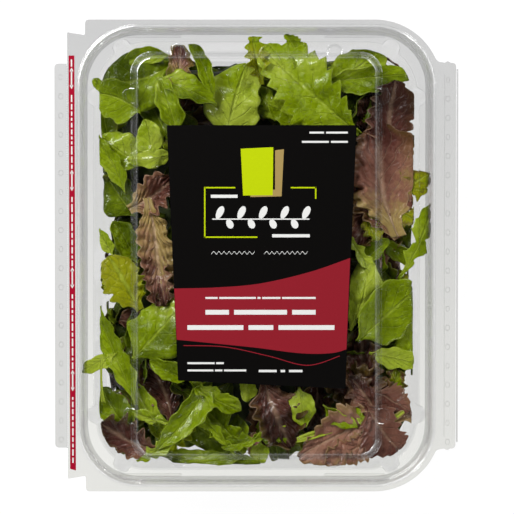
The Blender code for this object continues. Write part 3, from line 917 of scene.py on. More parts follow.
# Leaves on top, each as kind, base, tip, width, layer, tone, blush and how it lies. Places are in millimetres.
OVER = {"roll": math.pi, "fold": 0.1}
TOP_LEAVES = (
    # Upper left corner.
    ("smooth", (-40, 80), (-60, 100), 18, 2, 0.25, 0.0, {}),
    ("smooth", (-44, 103), (-70, 99), 9, 4, 0.75, 0.0, {}),
    ("red", (-41, 86), (-39, 109), 14, 4.6, 0.85, 0.6, {}),
    ("smooth", (-22, 80), (-35, 111), 12, 5, 0.62, 0.0, {"cup": 0.9, "blunt": 0.9}),
    ("smooth", (-44, 99), (-85, 88), 34, 4, 0.42, 0.0, {"cup": -0.3, "bend": 0.5, "sway": 0.08}),
    ("smooth", (-59, 74), (-87, 84), 25, 5, 0.46, 0.0, {"cup": 0.6, "bend": 0.4, "sway": -0.08}),
    ("smooth", (-46, 60), (-60, 86), 18, 3, 0.35, 0.0, {}),
    ("smooth", (-52, 92), (-20, 78), 16, 5, 0.60, 0.0, {"cup": 0.7, "blunt": 0.8}),
    ("smooth", (-40, 62), (-50, 92), 15, 5, 0.70, 0.0, {"cup": 0.5}),
    ("smooth", (-15, 58), (-5, 99), 31, 4, 0.95, 0.0, OVER),
    ("smooth", (-18, 84), (-34, 94), 8, 3, 0.20, 0.0, {}),
    # Left side.
    ("smooth", (-54, 50), (-57, 70), 14, 5, 0.86, 0.0, OVER),
    ("smooth", (-58, 46), (-80, 62), 18, 4, 0.66, 0.0, OVER),
    ("smooth", (-68, 32), (-84, 62), 12, 5, 0.62, 0.0, {"cup": 0.7}),
    ("smooth", (-42, 53), (-66, 49), 9, 5, 0.95, 0.0, OVER),
    ("smooth", (-62, 20), (-80, 46), 20, 3, 0.30, 0.0, {}),
    ("red", (-66, 24), (-42, 40), 22, 4, 0.90, 0.10, {"cup": 0.4}),
    ("smooth", (-40, 20), (-46, 46), 16, 2, 0.30, 0.0, {}),
    ("smooth", (-62, -4), (-74, 18), 15, 3, 0.55, 0.0, {}),
    ("smooth", (-74, 0), (-83, 14), 7, 5, 0.80, 0.0, {}),
    ("red", (-56, 30), (-50, -26), 20, 4.9, 1.15, 0.10, {"cup": 0.5}),
    ("red", (-50, 12), (-46, -26), 12, 4.8, 0.75, 0.10, {"cup": 0.5}),
    ("frilly", (-60, -28), (-76, 0), 27, 5, 0.90, 0.15, {}),
    ("smooth", (-42, -4), (-40, 18), 12, 3, 0.45, 0.0, {}),
    ("frilly", (-76, -20), (-82, -4), 12, 4, 0.65, 0.2, {}),
    ("smooth", (-60, -74), (-64, -28), 15, 3, 0.35, 0.0, {"cup": 0.6}),
    ("smooth", (-62, -76), (-84, -26), 15, 5, 0.72, 0.0, {"cup": 0.8}),
    ("smooth", (-64, -54), (-34, -22), 30, 5, 0.68, 0.0, {"cup": -0.25, "bend": 0.3}),
    ("stem", (-79, -76), (-80, -52), 2.6, 5, 1.00, 0.0, {}),
    # Lower left corner.
    ("red", (-44, -86), (-58, -54), 20, 3, 0.20, 0.10, {}),
    ("smooth", (-34, -64), (-55, -54), 10, 5, 0.75, 0.0, {}),
    ("smooth", (-62, -94), (-80, -68), 18, 4, 0.45, 0.0, {"cup": 0.7}),
    ("smooth", (-48, -90), (-62, -66), 11, 4, 0.70, 0.0, {"cup": 0.9}),
    ("smooth", (-22, -60), (-51, -99), 17, 5, 0.62, 0.0, {"cup": 0.5, "blunt": 0.8}),
    ("frilly", (-30, -84), (-50, -104), 16, 3, 0.45, 0.0, {}),
    ("smooth", (-36, -84), (-14, -101), 17, 3.2, 0.50, 0.0, {}),
    ("rocket", (-14, -74), (-46, -88), 14, 3.4, 0.45, 0.0, {}),
    ("smooth", (-56, -106), (-80, -96), 14, 3, 0.55, 0.0, {}),
    ("red", (-52, -100), (-80, -86), 24, 5, 0.45, 0.15, {"cup": 1.1}),
    ("rocket", (-42, -86), (-64, -80), 8, 5, 0.75, 0.0, {}),
    ("rocket", (-62, -106), (-44, -96), 11, 5, 0.80, 0.0, {}),
    # Lower edge.
    ("smooth", (-52, -103), (2, -107), 12, 4, 0.45, 0.0, {}),
    ("smooth", (-6, -108), (-48, -103), 10, 3, 0.60, 0.0, {}),
    ("rocket", (-10, -104), (-36, -80), 8, 5, 0.80, 0.0, {}),
    ("rocket", (-6, -102), (-28, -78), 20, 4, 0.70, 0.0, {"cup": 0.3}),
    ("rocket", (-36, -62), (-8, -80), 15, 5, 0.78, 0.0, {"cup": 0.4}),
    ("smooth", (-5, -62), (-5, -75), 9, 5, 0.90, 0.0, OVER),
    ("smooth", (-40, -108), (-6, -103), 8, 4, 0.65, 0.0, {}),
    ("rocket", (6, -92), (-18, -98), 11, 5, 0.65, 0.0, {}),
    ("red", (4, -64), (18, -98), 26, 5, 0.35, 0.20, {}),
    ("smooth", (2, -96), (1, -109), 10, 4, 0.85, 0.0, OVER),
    ("rocket", (-4, -96), (20, -92), 11, 5, 0.72, 0.0, {}),
    ("red", (32, -64), (26, -92), 18, 3, 0.20, 0.30, {}),
    ("smooth", (22, -67), (25, -88), 13, 5.2, 0.95, 0.0, OVER),
    ("stem", (40, -89), (20, -95), 4.0, 5, 0.90, 0.0, {}),
    ("smooth", (34, -77), (52, -88), 9, 5, 0.80, 0.0, {"cup": 0.6}),
    ("smooth", (58, -88), (50, -78), 5, 5, 0.80, 0.0, {}),
    # Lower right corner.
    ("red", (56, -86), (54, -38), 24, 4, 0.40, 0.20, {"cup": 0.5}),
    ("red", (82, -84), (38, -64), 30, 4, 0.45, 0.25, {}),
    ("oak", (72, -84), (22, -104), 28, 4.6, 0.95, 0.45, {"cup": -0.2, "roll": 0.0}),
    ("oak", (56, -76), (75, -102), 29, 5.2, 0.18, 0.0, {"cup": 0.25, "roll": 0.0}),
    ("oak", (66, -90), (36, -108), 18, 5, 0.85, 0.40, {"cup": 0.3}),
    ("oak", (60, -70), (79, -80), 18, 5, 0.25, 0.10, {}),
    ("red", (62, -82), (48, -62), 15, 5, 0.60, 0.10, {}),
    ("stem", (60, -90), (76, -80), 3.6, 5, 0.60, 0.7, {}),
    ("frilly", (70, -72), (72, -58), 10, 4, 0.40, 0.9, {}),
    ("smooth", (64, -68), (78, -48), 16, 3, 0.30, 0.0, {}),
    # Right side.
    ("smooth", (84, -62), (74, -12), 22, 4, 0.58, 0.0, {"cup": -0.3}),
    ("smooth", (52, -44), (84, -16), 30, 5, 0.62, 0.0, {"cup": 0.25}),
    ("smooth", (58, -50), (86, -56), 13, 5, 0.78, 0.0, {}),
    ("smooth", (48, -38), (57, 0), 20, 5, 1.15, 0.0, OVER),
    ("smooth", (54, -4), (68, 9), 9, 4, 0.60, 0.0, OVER),
    ("rocket", (64, -26), (62, 6), 12, 3, 0.60, 0.0, {"cup": 0.8}),
    ("rocket", (47, 12), (60, -8), 9, 5, 0.80, 0.0, {"cup": 0.7}),
    ("red", (66, -6), (58, 26), 22, 3, 0.50, 0.85, {}),
    # Upper right corner.
    ("smooth", (46, 70), (66, 94), 20, 2, 0.25, 0.0, {}),
    ("smooth", (38, 86), (68, 108), 22, 3, 0.85, 0.0, OVER),
    ("red", (68, 52), (72, 90), 28, 5.3, 0.34, 0.05, {"roll": 0.2}),
    ("red", (56, 60), (60, 84), 16, 4, 0.20, 0.05, {}),
    ("red", (73, 9), (50, 52), 22, 4.4, 0.55, 0.35, {"roll": 0.2, "twist": 0.3}),
    ("red", (73, 10), (63, 68), 38, 5, 0.90, 0.15, {"roll": 0.05, "twist": 0.0, "cup": -0.3, "broad": 1.6}),
    ("red", (74, 48), (81, 62), 9, 5, 0.80, 0.90, {}),
    ("frilly", (74, 40), (82, 50), 11, 5.4, 0.60, 0.80, {}),
    ("frilly", (74, 22), (82, 18), 9, 5, 0.75, 0.60, {}),
    ("red", (74, 30), (83, 28), 10, 5, 0.95, 0.90, {}),
    ("red", (60, 30), (50, 4), 18, 4, 0.75, 0.40, {}),
    ("frilly", (56, 22), (63, 8), 10, 4.6, 0.70, 0.50, {}),
    ("smooth", (34, 89), (82, 94), 16, 5, 0.60, 0.0, {"cup": 0.3}),
    ("smooth", (48, 62), (58, 84), 12, 4, 0.40, 0.0, {"cup": 0.9}),
    ("smooth", (36, 66), (6, 78), 17, 4, 0.85, 0.0, OVER),
    ("smooth", (10, 70), (0, 88), 13, 3, 0.80, 0.0, OVER),
    ("rocket", (32, 84), (-2, 100), 17, 4, 0.55, 0.0, {"cup": 0.5}),
)
RIM_LEAVES = (
    ("serrated", (24, 92), (15, 114), 12, 5, 0.62, 0.0, {"roll": 0.0}),
    ("serrated", (53, 62), (2, 108), 36, 5.4, 0.76, 0.0, {"cup": -0.3, "bend": 0.2, "roll": 0.0, "fold": 0.3}),
    ("frilly", (3, 88), (-2, 113), 14, 5, 0.55, 0.0, {"cup": 0.5, "roll": 0.0}),
    ("rocket", (73, -12), (90, 27), 15, 5, 0.62, 0.0, {"cup": 0.3, "fold": 0.1, "roll": 0.0, "twist": 0.0}),
    ("frilly", (75, 34), (89, 42), 13, 5, 0.70, 0.70, {"roll": 0.2}),
    ("frilly", (76, 36), (88, 34), 10, 5.2, 0.85, 0.50, {"roll": -0.2}),
    ("smooth", (-72, -50), (-92, -60), 8, 5, 1.20, 0.0, {"roll": math.pi, "sway": 0.0, "twist": 0.0}),
    ("smooth", (-76, 84), (-84, 91), 6, 5, 0.60, 0.0, {}),
    ("smooth", (-52, -92), (-12, -96), 14, 3.0, 0.42, 0.0, {"roll": 0.0}),
)


def leaf_layers(size, leaf):
    """Every leaf of the heap as (kind, pressed points, along, across, tone, blush)."""
    rng = np.random.default_rng(leaf.seed)
    kinds = ("smooth", "smooth", "rocket", "red", "smooth", "frilly", "oak", "rocket", "smooth")
    for count in range(leaf.fillers):
        kind = kinds[count % len(kinds)]
        side = count % 4
        x, y = rng.uniform(-74, 74), rng.uniform(-100, 100)
        if side == 0:
            x = math.copysign(rng.uniform(62, 78), x)
        elif side == 1:
            y = math.copysign(rng.uniform(86, 104), y)
        heading = rng.uniform(0, 2 * math.pi)
        reach = rng.uniform(12, 26)
        if y > 76 and -34 < x < 10:
            y -= 24
        dx, dy = reach * math.cos(heading), reach * math.sin(heading)
        height = rng.uniform(0.004, 0.040)
        width = reach * rng.uniform(0.8, 1.5)
        ends = (x - dx, y - dy), (x + dx, y + dy)
        lie = {"roll": rng.uniform(-0.9, 0.9), "fineness": 0.52}
        points, u, v = leaf_points(kind, *ends, width, height, rng, **lie)
        flush = 0.5 * rng.uniform()
        points = pressed(points, size, leaf, stand_off=rng.uniform(0, 0.005))
        # Filler leaves get dark tones, a painted shade for the gaps deep in the heap; those against the walls are
        # lifted by 0.22, painted light against the shadow they lie in.
        yield kind, points, u, v, rng.uniform(0.0, 0.45) + (0.22 if side < 2 else 0.0), flush
    for count in range(leaf.scraps):
        kind = kinds[(count * 5) % len(kinds)]
        x, y = rng.uniform(-80, 80), rng.uniform(-106, 106)
        if abs(x - 2) < 44 and abs(y) < 62:
            x = math.copysign(rng.uniform(46, 80), x)
        if y > 84 and -34 < x < 6:
            y -= 20
        heading, reach = rng.uniform(0, 2 * math.pi), rng.uniform(6, 13)
        dx, dy = reach * math.cos(heading), reach * math.sin(heading)
        lie = {"roll": rng.uniform(-0.8, 0.8), "fineness": 0.62, "part": (rng.uniform(0, 0.35), 1.0)}
        ends = (x - dx, y - dy), (x + dx, y + dy)
        points, u, v = leaf_points(kind, *ends, reach * rng.uniform(0.7, 1.6), rng.uniform(0.036, 0.049), rng, **lie)
        points = pressed(points, size, leaf, stand_off=rng.uniform(0, 0.002))
        yield kind, points, u, v, rng.uniform(0.15, 0.75), 0.5 * rng.uniform()
    for leaves, over_rim in ((TOP_LEAVES, False), (RIM_LEAVES, True)):
        for kind, base, tip, width, layer, tone, flush, lie in leaves:
            height = leaf.lowest + layer * leaf.layer
            lie = {"fineness": 1.3 if kind in ("red", "frilly", "oak") and width > 12 else 1.0, **lie}
            points, u, v = leaf_points(kind, base, tip, width, height, rng, **lie)
            points = pressed(points, size, leaf, over_rim, rng.uniform(0, 0.0012))
            yield kind, points, u, v, tone, flush


PIECE_NAMES = {
    "smooth": "green_leaves",
    "rocket": "rocket_leaves",
    "red": "red_lettuce_leaves",
    "frilly": "frilly_leaves",
    "oak": "oak_leaf_lettuce",
    "serrated": "serrated_leaves",
    "stem": "leaf_stems",
}


def leaf_finishes(shades):
    """Upper and under finish of each kind of leaf."""
    greens = [shades.green_dark, shades.green_deep, shades.green_bright, shades.green_pale]
    greens = tuple(tuple(shade) for shade in greens)
    pale, rib = tuple(shades.green_pale), tuple(shades.rib_pale)
    yellow, bright = tuple(shades.yellow_green), tuple(shades.green_bright)
    rose, purple, blush = tuple(shades.rose), tuple(shades.purple), tuple(shades.rose_pale)
    reds = tuple(shades.maroon), purple, rose, tuple(shades.olive)
    rib_rose, frill = tuple(shades.rib_rose), tuple(shades.frill)
    under = leaf_finish("Leaf underside", "smooth", (greens[1], bright, pale), rib, purple, paler=0.15, gloss=0.50)
    red_under = leaf_finish("Red underside", "red", (purple, rose, tuple(shades.olive)), rose, purple, 0.12)
    return {
        "smooth": (leaf_finish("Green leaf", "smooth", greens, rib, purple), under),
        "rocket": (leaf_finish("Rocket leaf", "rocket", greens, rib, purple, 0.10), under),
        "red": (leaf_finish("Red lettuce", "red", reds, rib_rose, frill, 0.11, 0.22, -0.95, 0.34, 0.30), red_under),
        "frilly": (leaf_finish("Frilly leaf", "frilly", (greens[1], bright, yellow, yellow), rib, purple, 0.10), under),
        "oak": (leaf_finish("Oak leaf", "oak", (purple, rose, blush), rib_rose, frill, 0.07, 0.0, -0.2), red_under),
        "serrated": (leaf_finish("Serrated leaf", "serrated", greens, rib, purple, 0.07), under),
        "stem": (leaf_finish("Leaf stem", "stem", (bright, pale, rib), rib, rose, 0.3), under),
    }


# ---------------------------------------------------------------- print


def flat_shape(name, outline, z, thickness, finish):
    """A thin flat shape of print from its outline."""
    bm = bmesh.new()
    face = bm.faces.new([bm.verts.new((x, y, z)) for x, y in outline])
    top = bmesh.ops.extrude_face_region(bm, geom=[face])["geom"]
    bmesh.ops.translate(bm, verts=[i for i in top if isinstance(i, bmesh.types.BMVert)], vec=(0, 0, thickness))
    bmesh.ops.recalc_face_normals(bm, faces=bm.faces)
    piece = start_piece(name, bm)
    wear(piece, finish)
    return piece


INK = 0.00005


def label_half(y):
    """Half the label's width at height y."""
    low, high = LABEL_LOW.y, LABEL_HIGH.y
    share = (y - low) / (high - low)
    return 0.0424 + (0.0483 - 0.0424) * share


def dashes(name, left, right, y, height, words, z, finish, gap=0.0011):
    """A line of print as plain bars, whose widths go as the numbers in words."""
    room = right - left - gap * (len(words) - 1)
    pieces, x = [], left
    for share in words:
        wide = room * share / sum(words)
        pieces.append(add_bar(name, (x + wide / 2, y, z + INK / 2), (wide, height, INK)))
        x += wide + gap
    line = join(name, pieces)
    wear(line, finish)
    return line


def wave_edge(points, steps=8):
    """A smooth curve through a few points, as Catmull-Rom."""
    knots = [Vector(points[0]), *map(Vector, points), Vector(points[-1])]
    curve = []
    for a, b, c, d in zip(knots, knots[1:], knots[2:], knots[3:]):
        for step in range(steps):
            t = step / steps
            curve.append(
                0.5 * (2 * b + (c - a) * t + (2 * a - 5 * b + 4 * c - d) * t**2 + (3 * b - a - 3 * c + d) * t**3)
            )
    curve.append(knots[-1])
    return curve


def thin_line(course, half):
    """Outline of a thin line along a course, half its width to each side."""
    return [(p.x, p.y + half) for p in course] + [(p.x, p.y - half) for p in reversed(course)]


def build_label(shades):
    """Colour fields and plain shapes on the black label."""
    black = print_finish("Label black", tuple(shades.label_black))
    red = print_finish("Label red", tuple(shades.band_red))
    white = print_finish("Label white", tuple(shades.print_white))
    lime = print_finish("Label lime", tuple(shades.lime))
    tan = print_finish("Label tan", tuple(shades.tan))
    wear(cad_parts["label"], black)
    z = LABEL_HIGH.z
    middle = (LABEL_LOW.x + LABEL_HIGH.x) / 2
    top_points = [(-0.0420, -0.0164), (-0.0200, -0.0158), (0.0020, -0.0138), (0.0270, -0.0080), (0.0478, -0.0008)]
    low_points = [(0.0466, -0.0472), (0.0380, -0.0494), (0.0220, -0.0494), (-0.0020, -0.0464), (-0.0407, -0.0425)]

    def on_label(points):
        kept = []
        for x, y in points:
            half = label_half(y) - 0.00005
            kept.append((min(max(x, middle - half), middle + half), y))
        return kept

    band = on_label([tuple(p) for p in wave_edge(top_points)] + [tuple(p) for p in wave_edge(low_points)])
    settle(flat_shape("label_band", band, z, INK, red))
    swoosh = [(-0.0372, -0.0455), (-0.0160, -0.0462), (0.0060, -0.0508), (0.0260, -0.0556), (0.0425, -0.0508)]
    settle(flat_shape("label_line", thin_line(wave_edge(swoosh), 0.00022), z, INK, red))
    tan_box = [(0.0095, 0.0540), (0.0140, 0.0545), (0.0128, 0.0306)]
    tan_box += [(-0.0030, 0.0302), (-0.0030, 0.0340), (0.0095, 0.0340)]
    settle(flat_shape("label_tan", tan_box, z, INK, tan))
    lime_box = [(-0.0080, 0.0548), (0.0086, 0.0556), (0.0083, 0.0311), (-0.0068, 0.0310)]
    settle(flat_shape("label_lime", lime_box, z, INK * 1.4, lime))

    lines = [
        add_bar("corner", (-0.0185, 0.0350, z + INK / 2), (0.0155, 0.0007, INK)),
        add_bar("corner", (-0.0263, 0.0224, z + INK / 2), (0.0007, 0.0259, INK)),
        add_bar("corner", (-0.0130, 0.0098, z + INK / 2), (0.0270, 0.0007, INK)),
        add_bar("corner", (0.0240, 0.0350, z + INK / 2), (0.0130, 0.0007, INK)),
        add_bar("corner", (0.0302, 0.0323, z + INK / 2), (0.0007, 0.0060, INK)),
    ]
    corners = join("label_corners", lines)
    wear(corners, lime)
    settle(corners)

    small = 0.0010
    over = z + INK
    rows = [
        dashes("row", 0.0270, 0.0465, 0.0630, small, (4, 6), z, white),
        dashes("row", 0.0232, 0.0465, 0.0583, small, (8, 5), z, white),
        dashes("row", -0.0232, -0.0096, 0.0306, 0.0016, (1,), z, white),
        dashes("row", 0.0080, 0.0272, 0.0105, 0.0016, (1,), z, white),
        dashes("row", -0.0260, 0.0302, -0.0212, small, (4, 12, 1, 6, 11), over, white, 0.0008),
        dashes("row", -0.0260, 0.0302, -0.0285, 0.0024, (4, 9, 4), over, white, 0.0026),
        dashes("row", -0.0352, 0.0398, -0.0363, 0.0024, (9, 4, 9), over, white, 0.0026),
        dashes("row", -0.0352, -0.0166, -0.0545, small, (7, 2), z, white, 0.0008),
        dashes("row", -0.0352, -0.0052, -0.0582, small, (7, 2, 6), z, white, 0.0008),
        dashes("row", 0.0012, 0.0235, -0.0585, 0.0012, (4, 1, 3), z, white, 0.0020),
    ]
    settle(join("label_rows", rows))
    build_sprig(z, white)
    waves = []
    for start in (-0.0230, 0.0040):
        script = [(start + 0.0013 * i, 0.0018 + (0.0007 if i % 2 else -0.0007)) for i in range(18)]
        waves.append(flat_shape("wave", thin_line(wave_edge(script, 4), 0.00016), z, INK, white))
    settle(join("label_waves", waves))


def build_sprig(z, finish):
    """A plain row of small leaves on a stem."""
    left, right, y = -0.0225, 0.0270, 0.0190
    pieces = [add_bar("stem", ((left + right) / 2, y, z + INK / 2), (right - left, 0.0006, INK))]
    wear(pieces[0], finish)
    for count in range(9):
        x = left + (right - left) * (count + 0.4) / 9
        up = 1 if count % 2 == 0 else -1
        reach = 0.0072 if up > 0 else 0.0052
        outline = []
        for step in range(24):
            angle = 2 * math.pi * step / 24
            along = reach * (0.5 - 0.5 * math.cos(angle))
            aside = 0.0019 * math.sin(angle) * math.sin(angle / 2) ** 0.3
            lean = 0.45
            outline.append((x + along * lean + aside * 0.9, y + up * (along * 0.9 - aside * lean)))
        if up < 0:
            outline.reverse()
        pieces.append(flat_shape("leaf", outline, z, INK, finish))
    settle(join("label_sprig", pieces))


def build_tape(shades):
    """White marks on the red tape: arrows and plain dashes."""
    wear(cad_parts["seal_tape"], print_finish("Tape red", tuple(shades.tape_red), 0.35))
    white = print_finish("Tape white", tuple(shades.print_white))
    z = TAPE_HIGH.z
    pieces = []
    rng = np.random.default_rng(5)
    y = TAPE_HIGH.y - 0.002
    while y > TAPE_LOW.y + 0.004:
        pitch = 0.052
        share = (TAPE_HIGH.y - y) % pitch
        x = -0.0948 + 0.0004 * (TAPE_HIGH.y - y) / (TAPE_HIGH.y - TAPE_LOW.y)
        if 0.004 < share < 0.016:
            pieces.append(add_bar("mark", (x, y - 0.0050, z + INK / 2), (0.0007, 0.0080, INK)))
            for end in (-1, 1):
                tip = y - 0.0050 + end * 0.0055
                head = [(x - 0.0010, tip - end * 0.0020), (x + 0.0010, tip - end * 0.0020), (x, tip)]
                pieces.append(flat_shape("mark", head, z, INK, white))
            y -= 0.0135
        else:
            tall = rng.uniform(0.0014, 0.0042)
            pieces.append(add_bar("mark", (x, y - tall / 2, z + INK / 2), (0.0007, tall, INK)))
            y -= tall + 0.0010
    for piece in pieces:
        wear(piece, white)
    settle(join("tape_marks", pieces))


# ---------------------------------------------------------------- small formed details


def build_formed_marks(film):
    """Plain raised marks on both tabs and ribs on the lid's ledge."""
    pieces = []
    lid_top = 0.05705 + 0.0002
    for count in range(20):
        y = 0.0905 - count * 0.0098
        for x, shift in ((0.0983, 0.0), (-0.1004, 0.0012)):
            bpy.ops.object.select_all(action="DESELECT")
            bpy.ops.mesh.primitive_torus_add(
                major_segments=20, minor_segments=6, major_radius=0.0011, minor_radius=0.00020,
                location=(x, y + shift, lid_top),
            )
            ring = bpy.context.object
            ring.scale = (1.0, 1.25, 0.9) if count % 3 else (0.8, 1.25, 0.9)
            bpy.ops.object.transform_apply(location=True, rotation=True, scale=True)
            pieces.append(ring)
    pieces.append(add_bar("fold", (0.0966, 0, lid_top), (0.0004, 0.1860, 0.0004), 0, 0.0001))
    ledge_top = 0.05705 + 0.0008 + 0.0002
    for x, wide in ((-0.0545, 0.0320), (0.0505, 0.0310)):
        for side in (-1, 1):
            pieces.append(add_bar("rib", (x, side * 0.1126, ledge_top), (wide, 0.0016, 0.0008), 0, 0.00035, 3))
    for piece in pieces:
        wear(piece, film)
    settle(join("formed_marks", pieces), slot="clear_sheet")


def build_tear_holes(finish):
    """Two dotted lines of tear holes beside the tape."""
    bpy.ops.object.select_all(action="DESELECT")
    pieces = []
    for x, low, high in ((-0.0972, -0.0985, 0.0985), (-0.0922, -0.0800, 0.0800)):
        count = int((high - low) / 0.0012)
        bpy.ops.mesh.primitive_cylinder_add(vertices=8, radius=0.00022, depth=0.0003, location=(x, low, 0.05750))
        hole = bpy.context.object
        bpy.ops.object.transform_apply(location=True, rotation=True, scale=True)
        apply_modifier(
            hole,
            "ARRAY",
            count=count,
            use_relative_offset=False,
            use_constant_offset=True,
            constant_offset_displace=(0, 0.0012, 0),
        )
        pieces.append(hole)
    holes = join("tear_holes", pieces)
    wear(holes, finish)
    settle(holes)


# ---------------------------------------------------------------- operators


class SALADPACK_OT_sheet(bpy.types.Operator):
    """Form the tray, the lid, the hinge and the tear tab in clear sheet"""

    bl_idname = "salad_pack.sheet"
    bl_label = "Clear Sheet"

    def execute(self, context):
        size = context.scene.salad_shell
        clear = film_finish("Lid sheet", 0.952, 0.900, 0.002, shine=0.060)
        corner = film_finish("Lid corner sheet", 0.952, 0.900, 0.002, shine=0.15)
        lid_flange = film_finish("Lid flange sheet", 0.936, 0.91, 0.004, 0.010, 0.12)
        # The fifth value of each sheet is its painted shade toward the +Y end; the tray's sheets carry most of it.
        tray = film_finish("Tray sheet", 0.950, 0.885, 0.001, 0.130, 0.025)
        tray_flange = film_finish("Tray flange sheet", 0.942, 0.92, 0.003, 0.110, 0.06)
        tint_flange(build_tray_film(size, (tray, tray_flange)), size)
        lid = build_lid_film(size, (clear, lid_flange, corner))
        tint_flange(lid, size)
        tint_corners(lid, size)
        add_droplets(size, clear)
        tab = film_finish("Tab sheet", 0.815, 0.74, 0.004)
        wear(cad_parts["tear_tab"], tab)
        wear(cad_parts["hinge"], tab)
        build_formed_marks(clear)
        holes = Finish("Tear holes")
        build_tear_holes(holes.principled(Base_Color=(0.30, 0.30, 0.29), Roughness=0.5))
        return {"FINISHED"}


class SALADPACK_OT_leaves(bpy.types.Operator):
    """Fill the tub with mixed leaves over a core coloured dark as painted shade"""

    bl_idname = "salad_pack.leaves"
    bl_label = "Leaves"

    def execute(self, context):
        size, leaf = context.scene.salad_shell, context.scene.salad_leaf
        finishes = leaf_finishes(context.scene.salad_colours)
        heaps = {kind: Heap() for kind in KINDS}
        for kind, points, u, v, tone, flush in leaf_layers(size, leaf):
            heaps[kind].add(points, u, v, tone, flush)
        for kind, heap in heaps.items():
            piece = heap.piece(PIECE_NAMES[kind], leaf.thickness)
            wear(piece, *finishes[kind])
            settle(piece, "salad_leaves", slot="leaves")
        self.add_shade_core()
        return {"FINISHED"}

    def add_shade_core(self):
        """A low mass of packed leaves under the loose ones, coloured near black as painted shade."""
        core = add_bar("leaf_core_in_shade", (0, 0, 0.0200), (0.1440, 0.1980, 0.0300), 0, 0.0140, 4)
        apply_modifier(core, "SUBSURF", levels=3, render_levels=3)
        for vertex in core.data.vertices:
            lump = noise.noise(vertex.co * 70) * 0.006
            vertex.co += vertex.normal * lump
        core.data.shade_smooth()
        finish = Finish("Packed leaves in painted shade")
        cloud = finish.noise(120.0, 4.0)
        # Near-black greens: painted shade standing in for the shaded depths of the heap.
        body = finish.blend(cloud.between(0.35, 0.7), (0.006, 0.010, 0.001), (0.045, 0.070, 0.005))
        wear(core, finish.principled(Base_Color=body, Roughness=cloud * 0.3 + 0.5))
        settle(core, "salad_leaves", slot="leaves")


class SALADPACK_OT_label(bpy.types.Operator):
    """Print the label with plain fields and shapes"""

    bl_idname = "salad_pack.label"
    bl_label = "Label"

    def execute(self, context):
        build_label(context.scene.salad_colours)
        return {"FINISHED"}


class SALADPACK_OT_tape(bpy.types.Operator):
    """Print the seal tape"""

    bl_idname = "salad_pack.tape"
    bl_label = "Seal Tape"

    def execute(self, context):
        build_tape(context.scene.salad_colours)
        return {"FINISHED"}


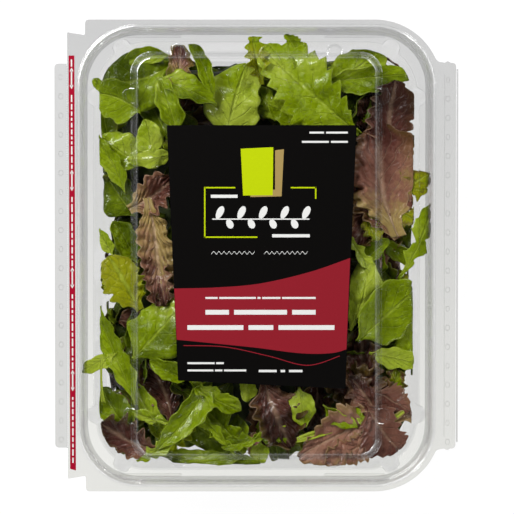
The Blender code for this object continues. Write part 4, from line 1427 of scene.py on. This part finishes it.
class SALADPACK_OT_stage(bpy.types.Operator):
    """Set the floor, the lamps, the world and the camera"""

    bl_idname = "salad_pack.stage"
    bl_label = "Stage"

    def execute(self, context):
        self.add_floor()
        self.add_world(context.scene)
        self.add_lamps()
        self.add_camera(context.scene)
        context.scene.view_settings.view_transform = "Standard"
        return {"FINISHED"}

    def add_floor(self):
        """A white floor inside a white round wall, open above."""
        bpy.ops.object.select_all(action="DESELECT")
        bpy.ops.mesh.primitive_plane_add(size=12, location=(0, 0, 0))
        floor = bpy.context.object
        floor.name = "floor"
        bpy.ops.object.select_all(action="DESELECT")
        bpy.ops.mesh.primitive_cylinder_add(
            vertices=96, radius=5.0, depth=3.0, end_fill_type="NOTHING", location=(0, 0, 1.5)
        )
        wall = bpy.context.object
        wall.name = "backdrop"
        finish = Finish("White floor")
        rays = "LightPath"
        seen = finish.node(rays) + finish.node(rays, output=3) + finish.node(rays, output=6)
        plain = finish.node("BsdfDiffuse", {"Color": (0.80, 0.80, 0.80)})
        glow = finish.node("Emission", {"Color": (1.0, 1.0, 1.0), "Strength": 1.10})
        share = seen.held() * 0.87
        white = finish.surface(finish.node("MixShader", {0: share, 1: plain, 2: glow}))
        for piece in (floor, wall):
            wear(piece, white)

    def add_world(self, scene):
        world = bpy.data.worlds.new("Studio")
        scene.world = world
        world.use_nodes = True
        tree = world.node_tree
        tree.nodes["Background"].inputs["Color"].default_value = (1, 1, 1, 1)
        tree.nodes["Background"].inputs["Strength"].default_value = 0.085

    def add_lamps(self):
        """Wide lamps for the light, and small ones for the sheet's highlights."""
        lamps = (
            ("upper left", (-0.62, 0.62, 0.88), (1.10, 0.28), 14.2),
            ("upper right", (0.74, 0.56, 0.90), (0.90, 0.14), 2.8),
            ("lower right", (0.60, -0.78, 0.90), (0.90, 0.12), 2.6),
            ("lower left", (-0.70, -0.55, 0.95), (0.60, 0.10), 1.0),
            ("spark upper left", (-0.42, 0.46, 0.80), (0.10, 0.10), 0.9),
            ("spark upper right", (0.40, 0.52, 0.80), (0.09, 0.09), 0.5),
            ("spark lower right", (0.46, -0.50, 0.80), (0.09, 0.09), 0.6),
        )
        for name, place, sides, power in lamps:
            bpy.ops.object.light_add(type="AREA", location=place)
            lamp = bpy.context.object
            lamp.name = name
            lamp.data.shape = "RECTANGLE"
            lamp.data.size, lamp.data.size_y = sides
            lamp.data.energy = power
            aim = Vector((0, 0, 0.05)) - Vector(place)
            lamp.rotation_euler = aim.to_track_quat("-Z", "Y").to_euler()

    def add_camera(self, scene):
        bpy.ops.object.camera_add()
        camera = bpy.context.object
        camera.name = "camera"
        camera.data.sensor_width = 36
        reach, field = 1.0, 0.2642
        camera.data.lens = camera.data.sensor_width * reach / field
        target = Vector((0.0003, -0.0005, 0.057))
        tilt = math.radians(1.2)
        camera.location = target + Vector((0, math.sin(tilt), math.cos(tilt))) * reach
        camera.rotation_euler = (-tilt, 0, 0)
        camera.data.clip_start, camera.data.clip_end = 0.01, 20
        scene.camera = camera


class SALADPACK_PT_panel(bpy.types.Panel):
    """Lists the steps that build the pack"""

    bl_idname = "SALADPACK_PT_panel"
    bl_label = "Salad Pack"
    bl_space_type = "VIEW_3D"
    bl_region_type = "UI"
    bl_category = "Salad Pack"

    def draw(self, context):
        for step in STEPS:
            self.layout.operator(step.bl_idname)
        for group in (context.scene.salad_shell, context.scene.salad_leaf, context.scene.salad_colours):
            for name in group.bl_rna.properties.keys():
                if name not in ("rna_type", "name"):
                    self.layout.prop(group, name)


STEPS = (
    SALADPACK_OT_stage,
    SALADPACK_OT_sheet,
    SALADPACK_OT_leaves,
    SALADPACK_OT_label,
    SALADPACK_OT_tape,
)
GROUPS = {"salad_shell": ShellSizes, "salad_leaf": LeafSizes, "salad_colours": PackColours}


def register():
    for name, group in GROUPS.items():
        bpy.utils.register_class(group)
        setattr(bpy.types.Scene, name, PointerProperty(type=group))
    for step in (*STEPS, SALADPACK_PT_panel):
        bpy.utils.register_class(step)


def unregister():
    for step in reversed((*STEPS, SALADPACK_PT_panel)):
        bpy.utils.unregister_class(step)
    for name, group in GROUPS.items():
        delattr(bpy.types.Scene, name)
        bpy.utils.unregister_class(group)


def main():
    register()
    bpy.ops.salad_pack.stage()
    bpy.ops.salad_pack.sheet()
    bpy.ops.salad_pack.leaves()
    bpy.ops.salad_pack.label()
    bpy.ops.salad_pack.tape()


if __name__ == "__main__":
    main()
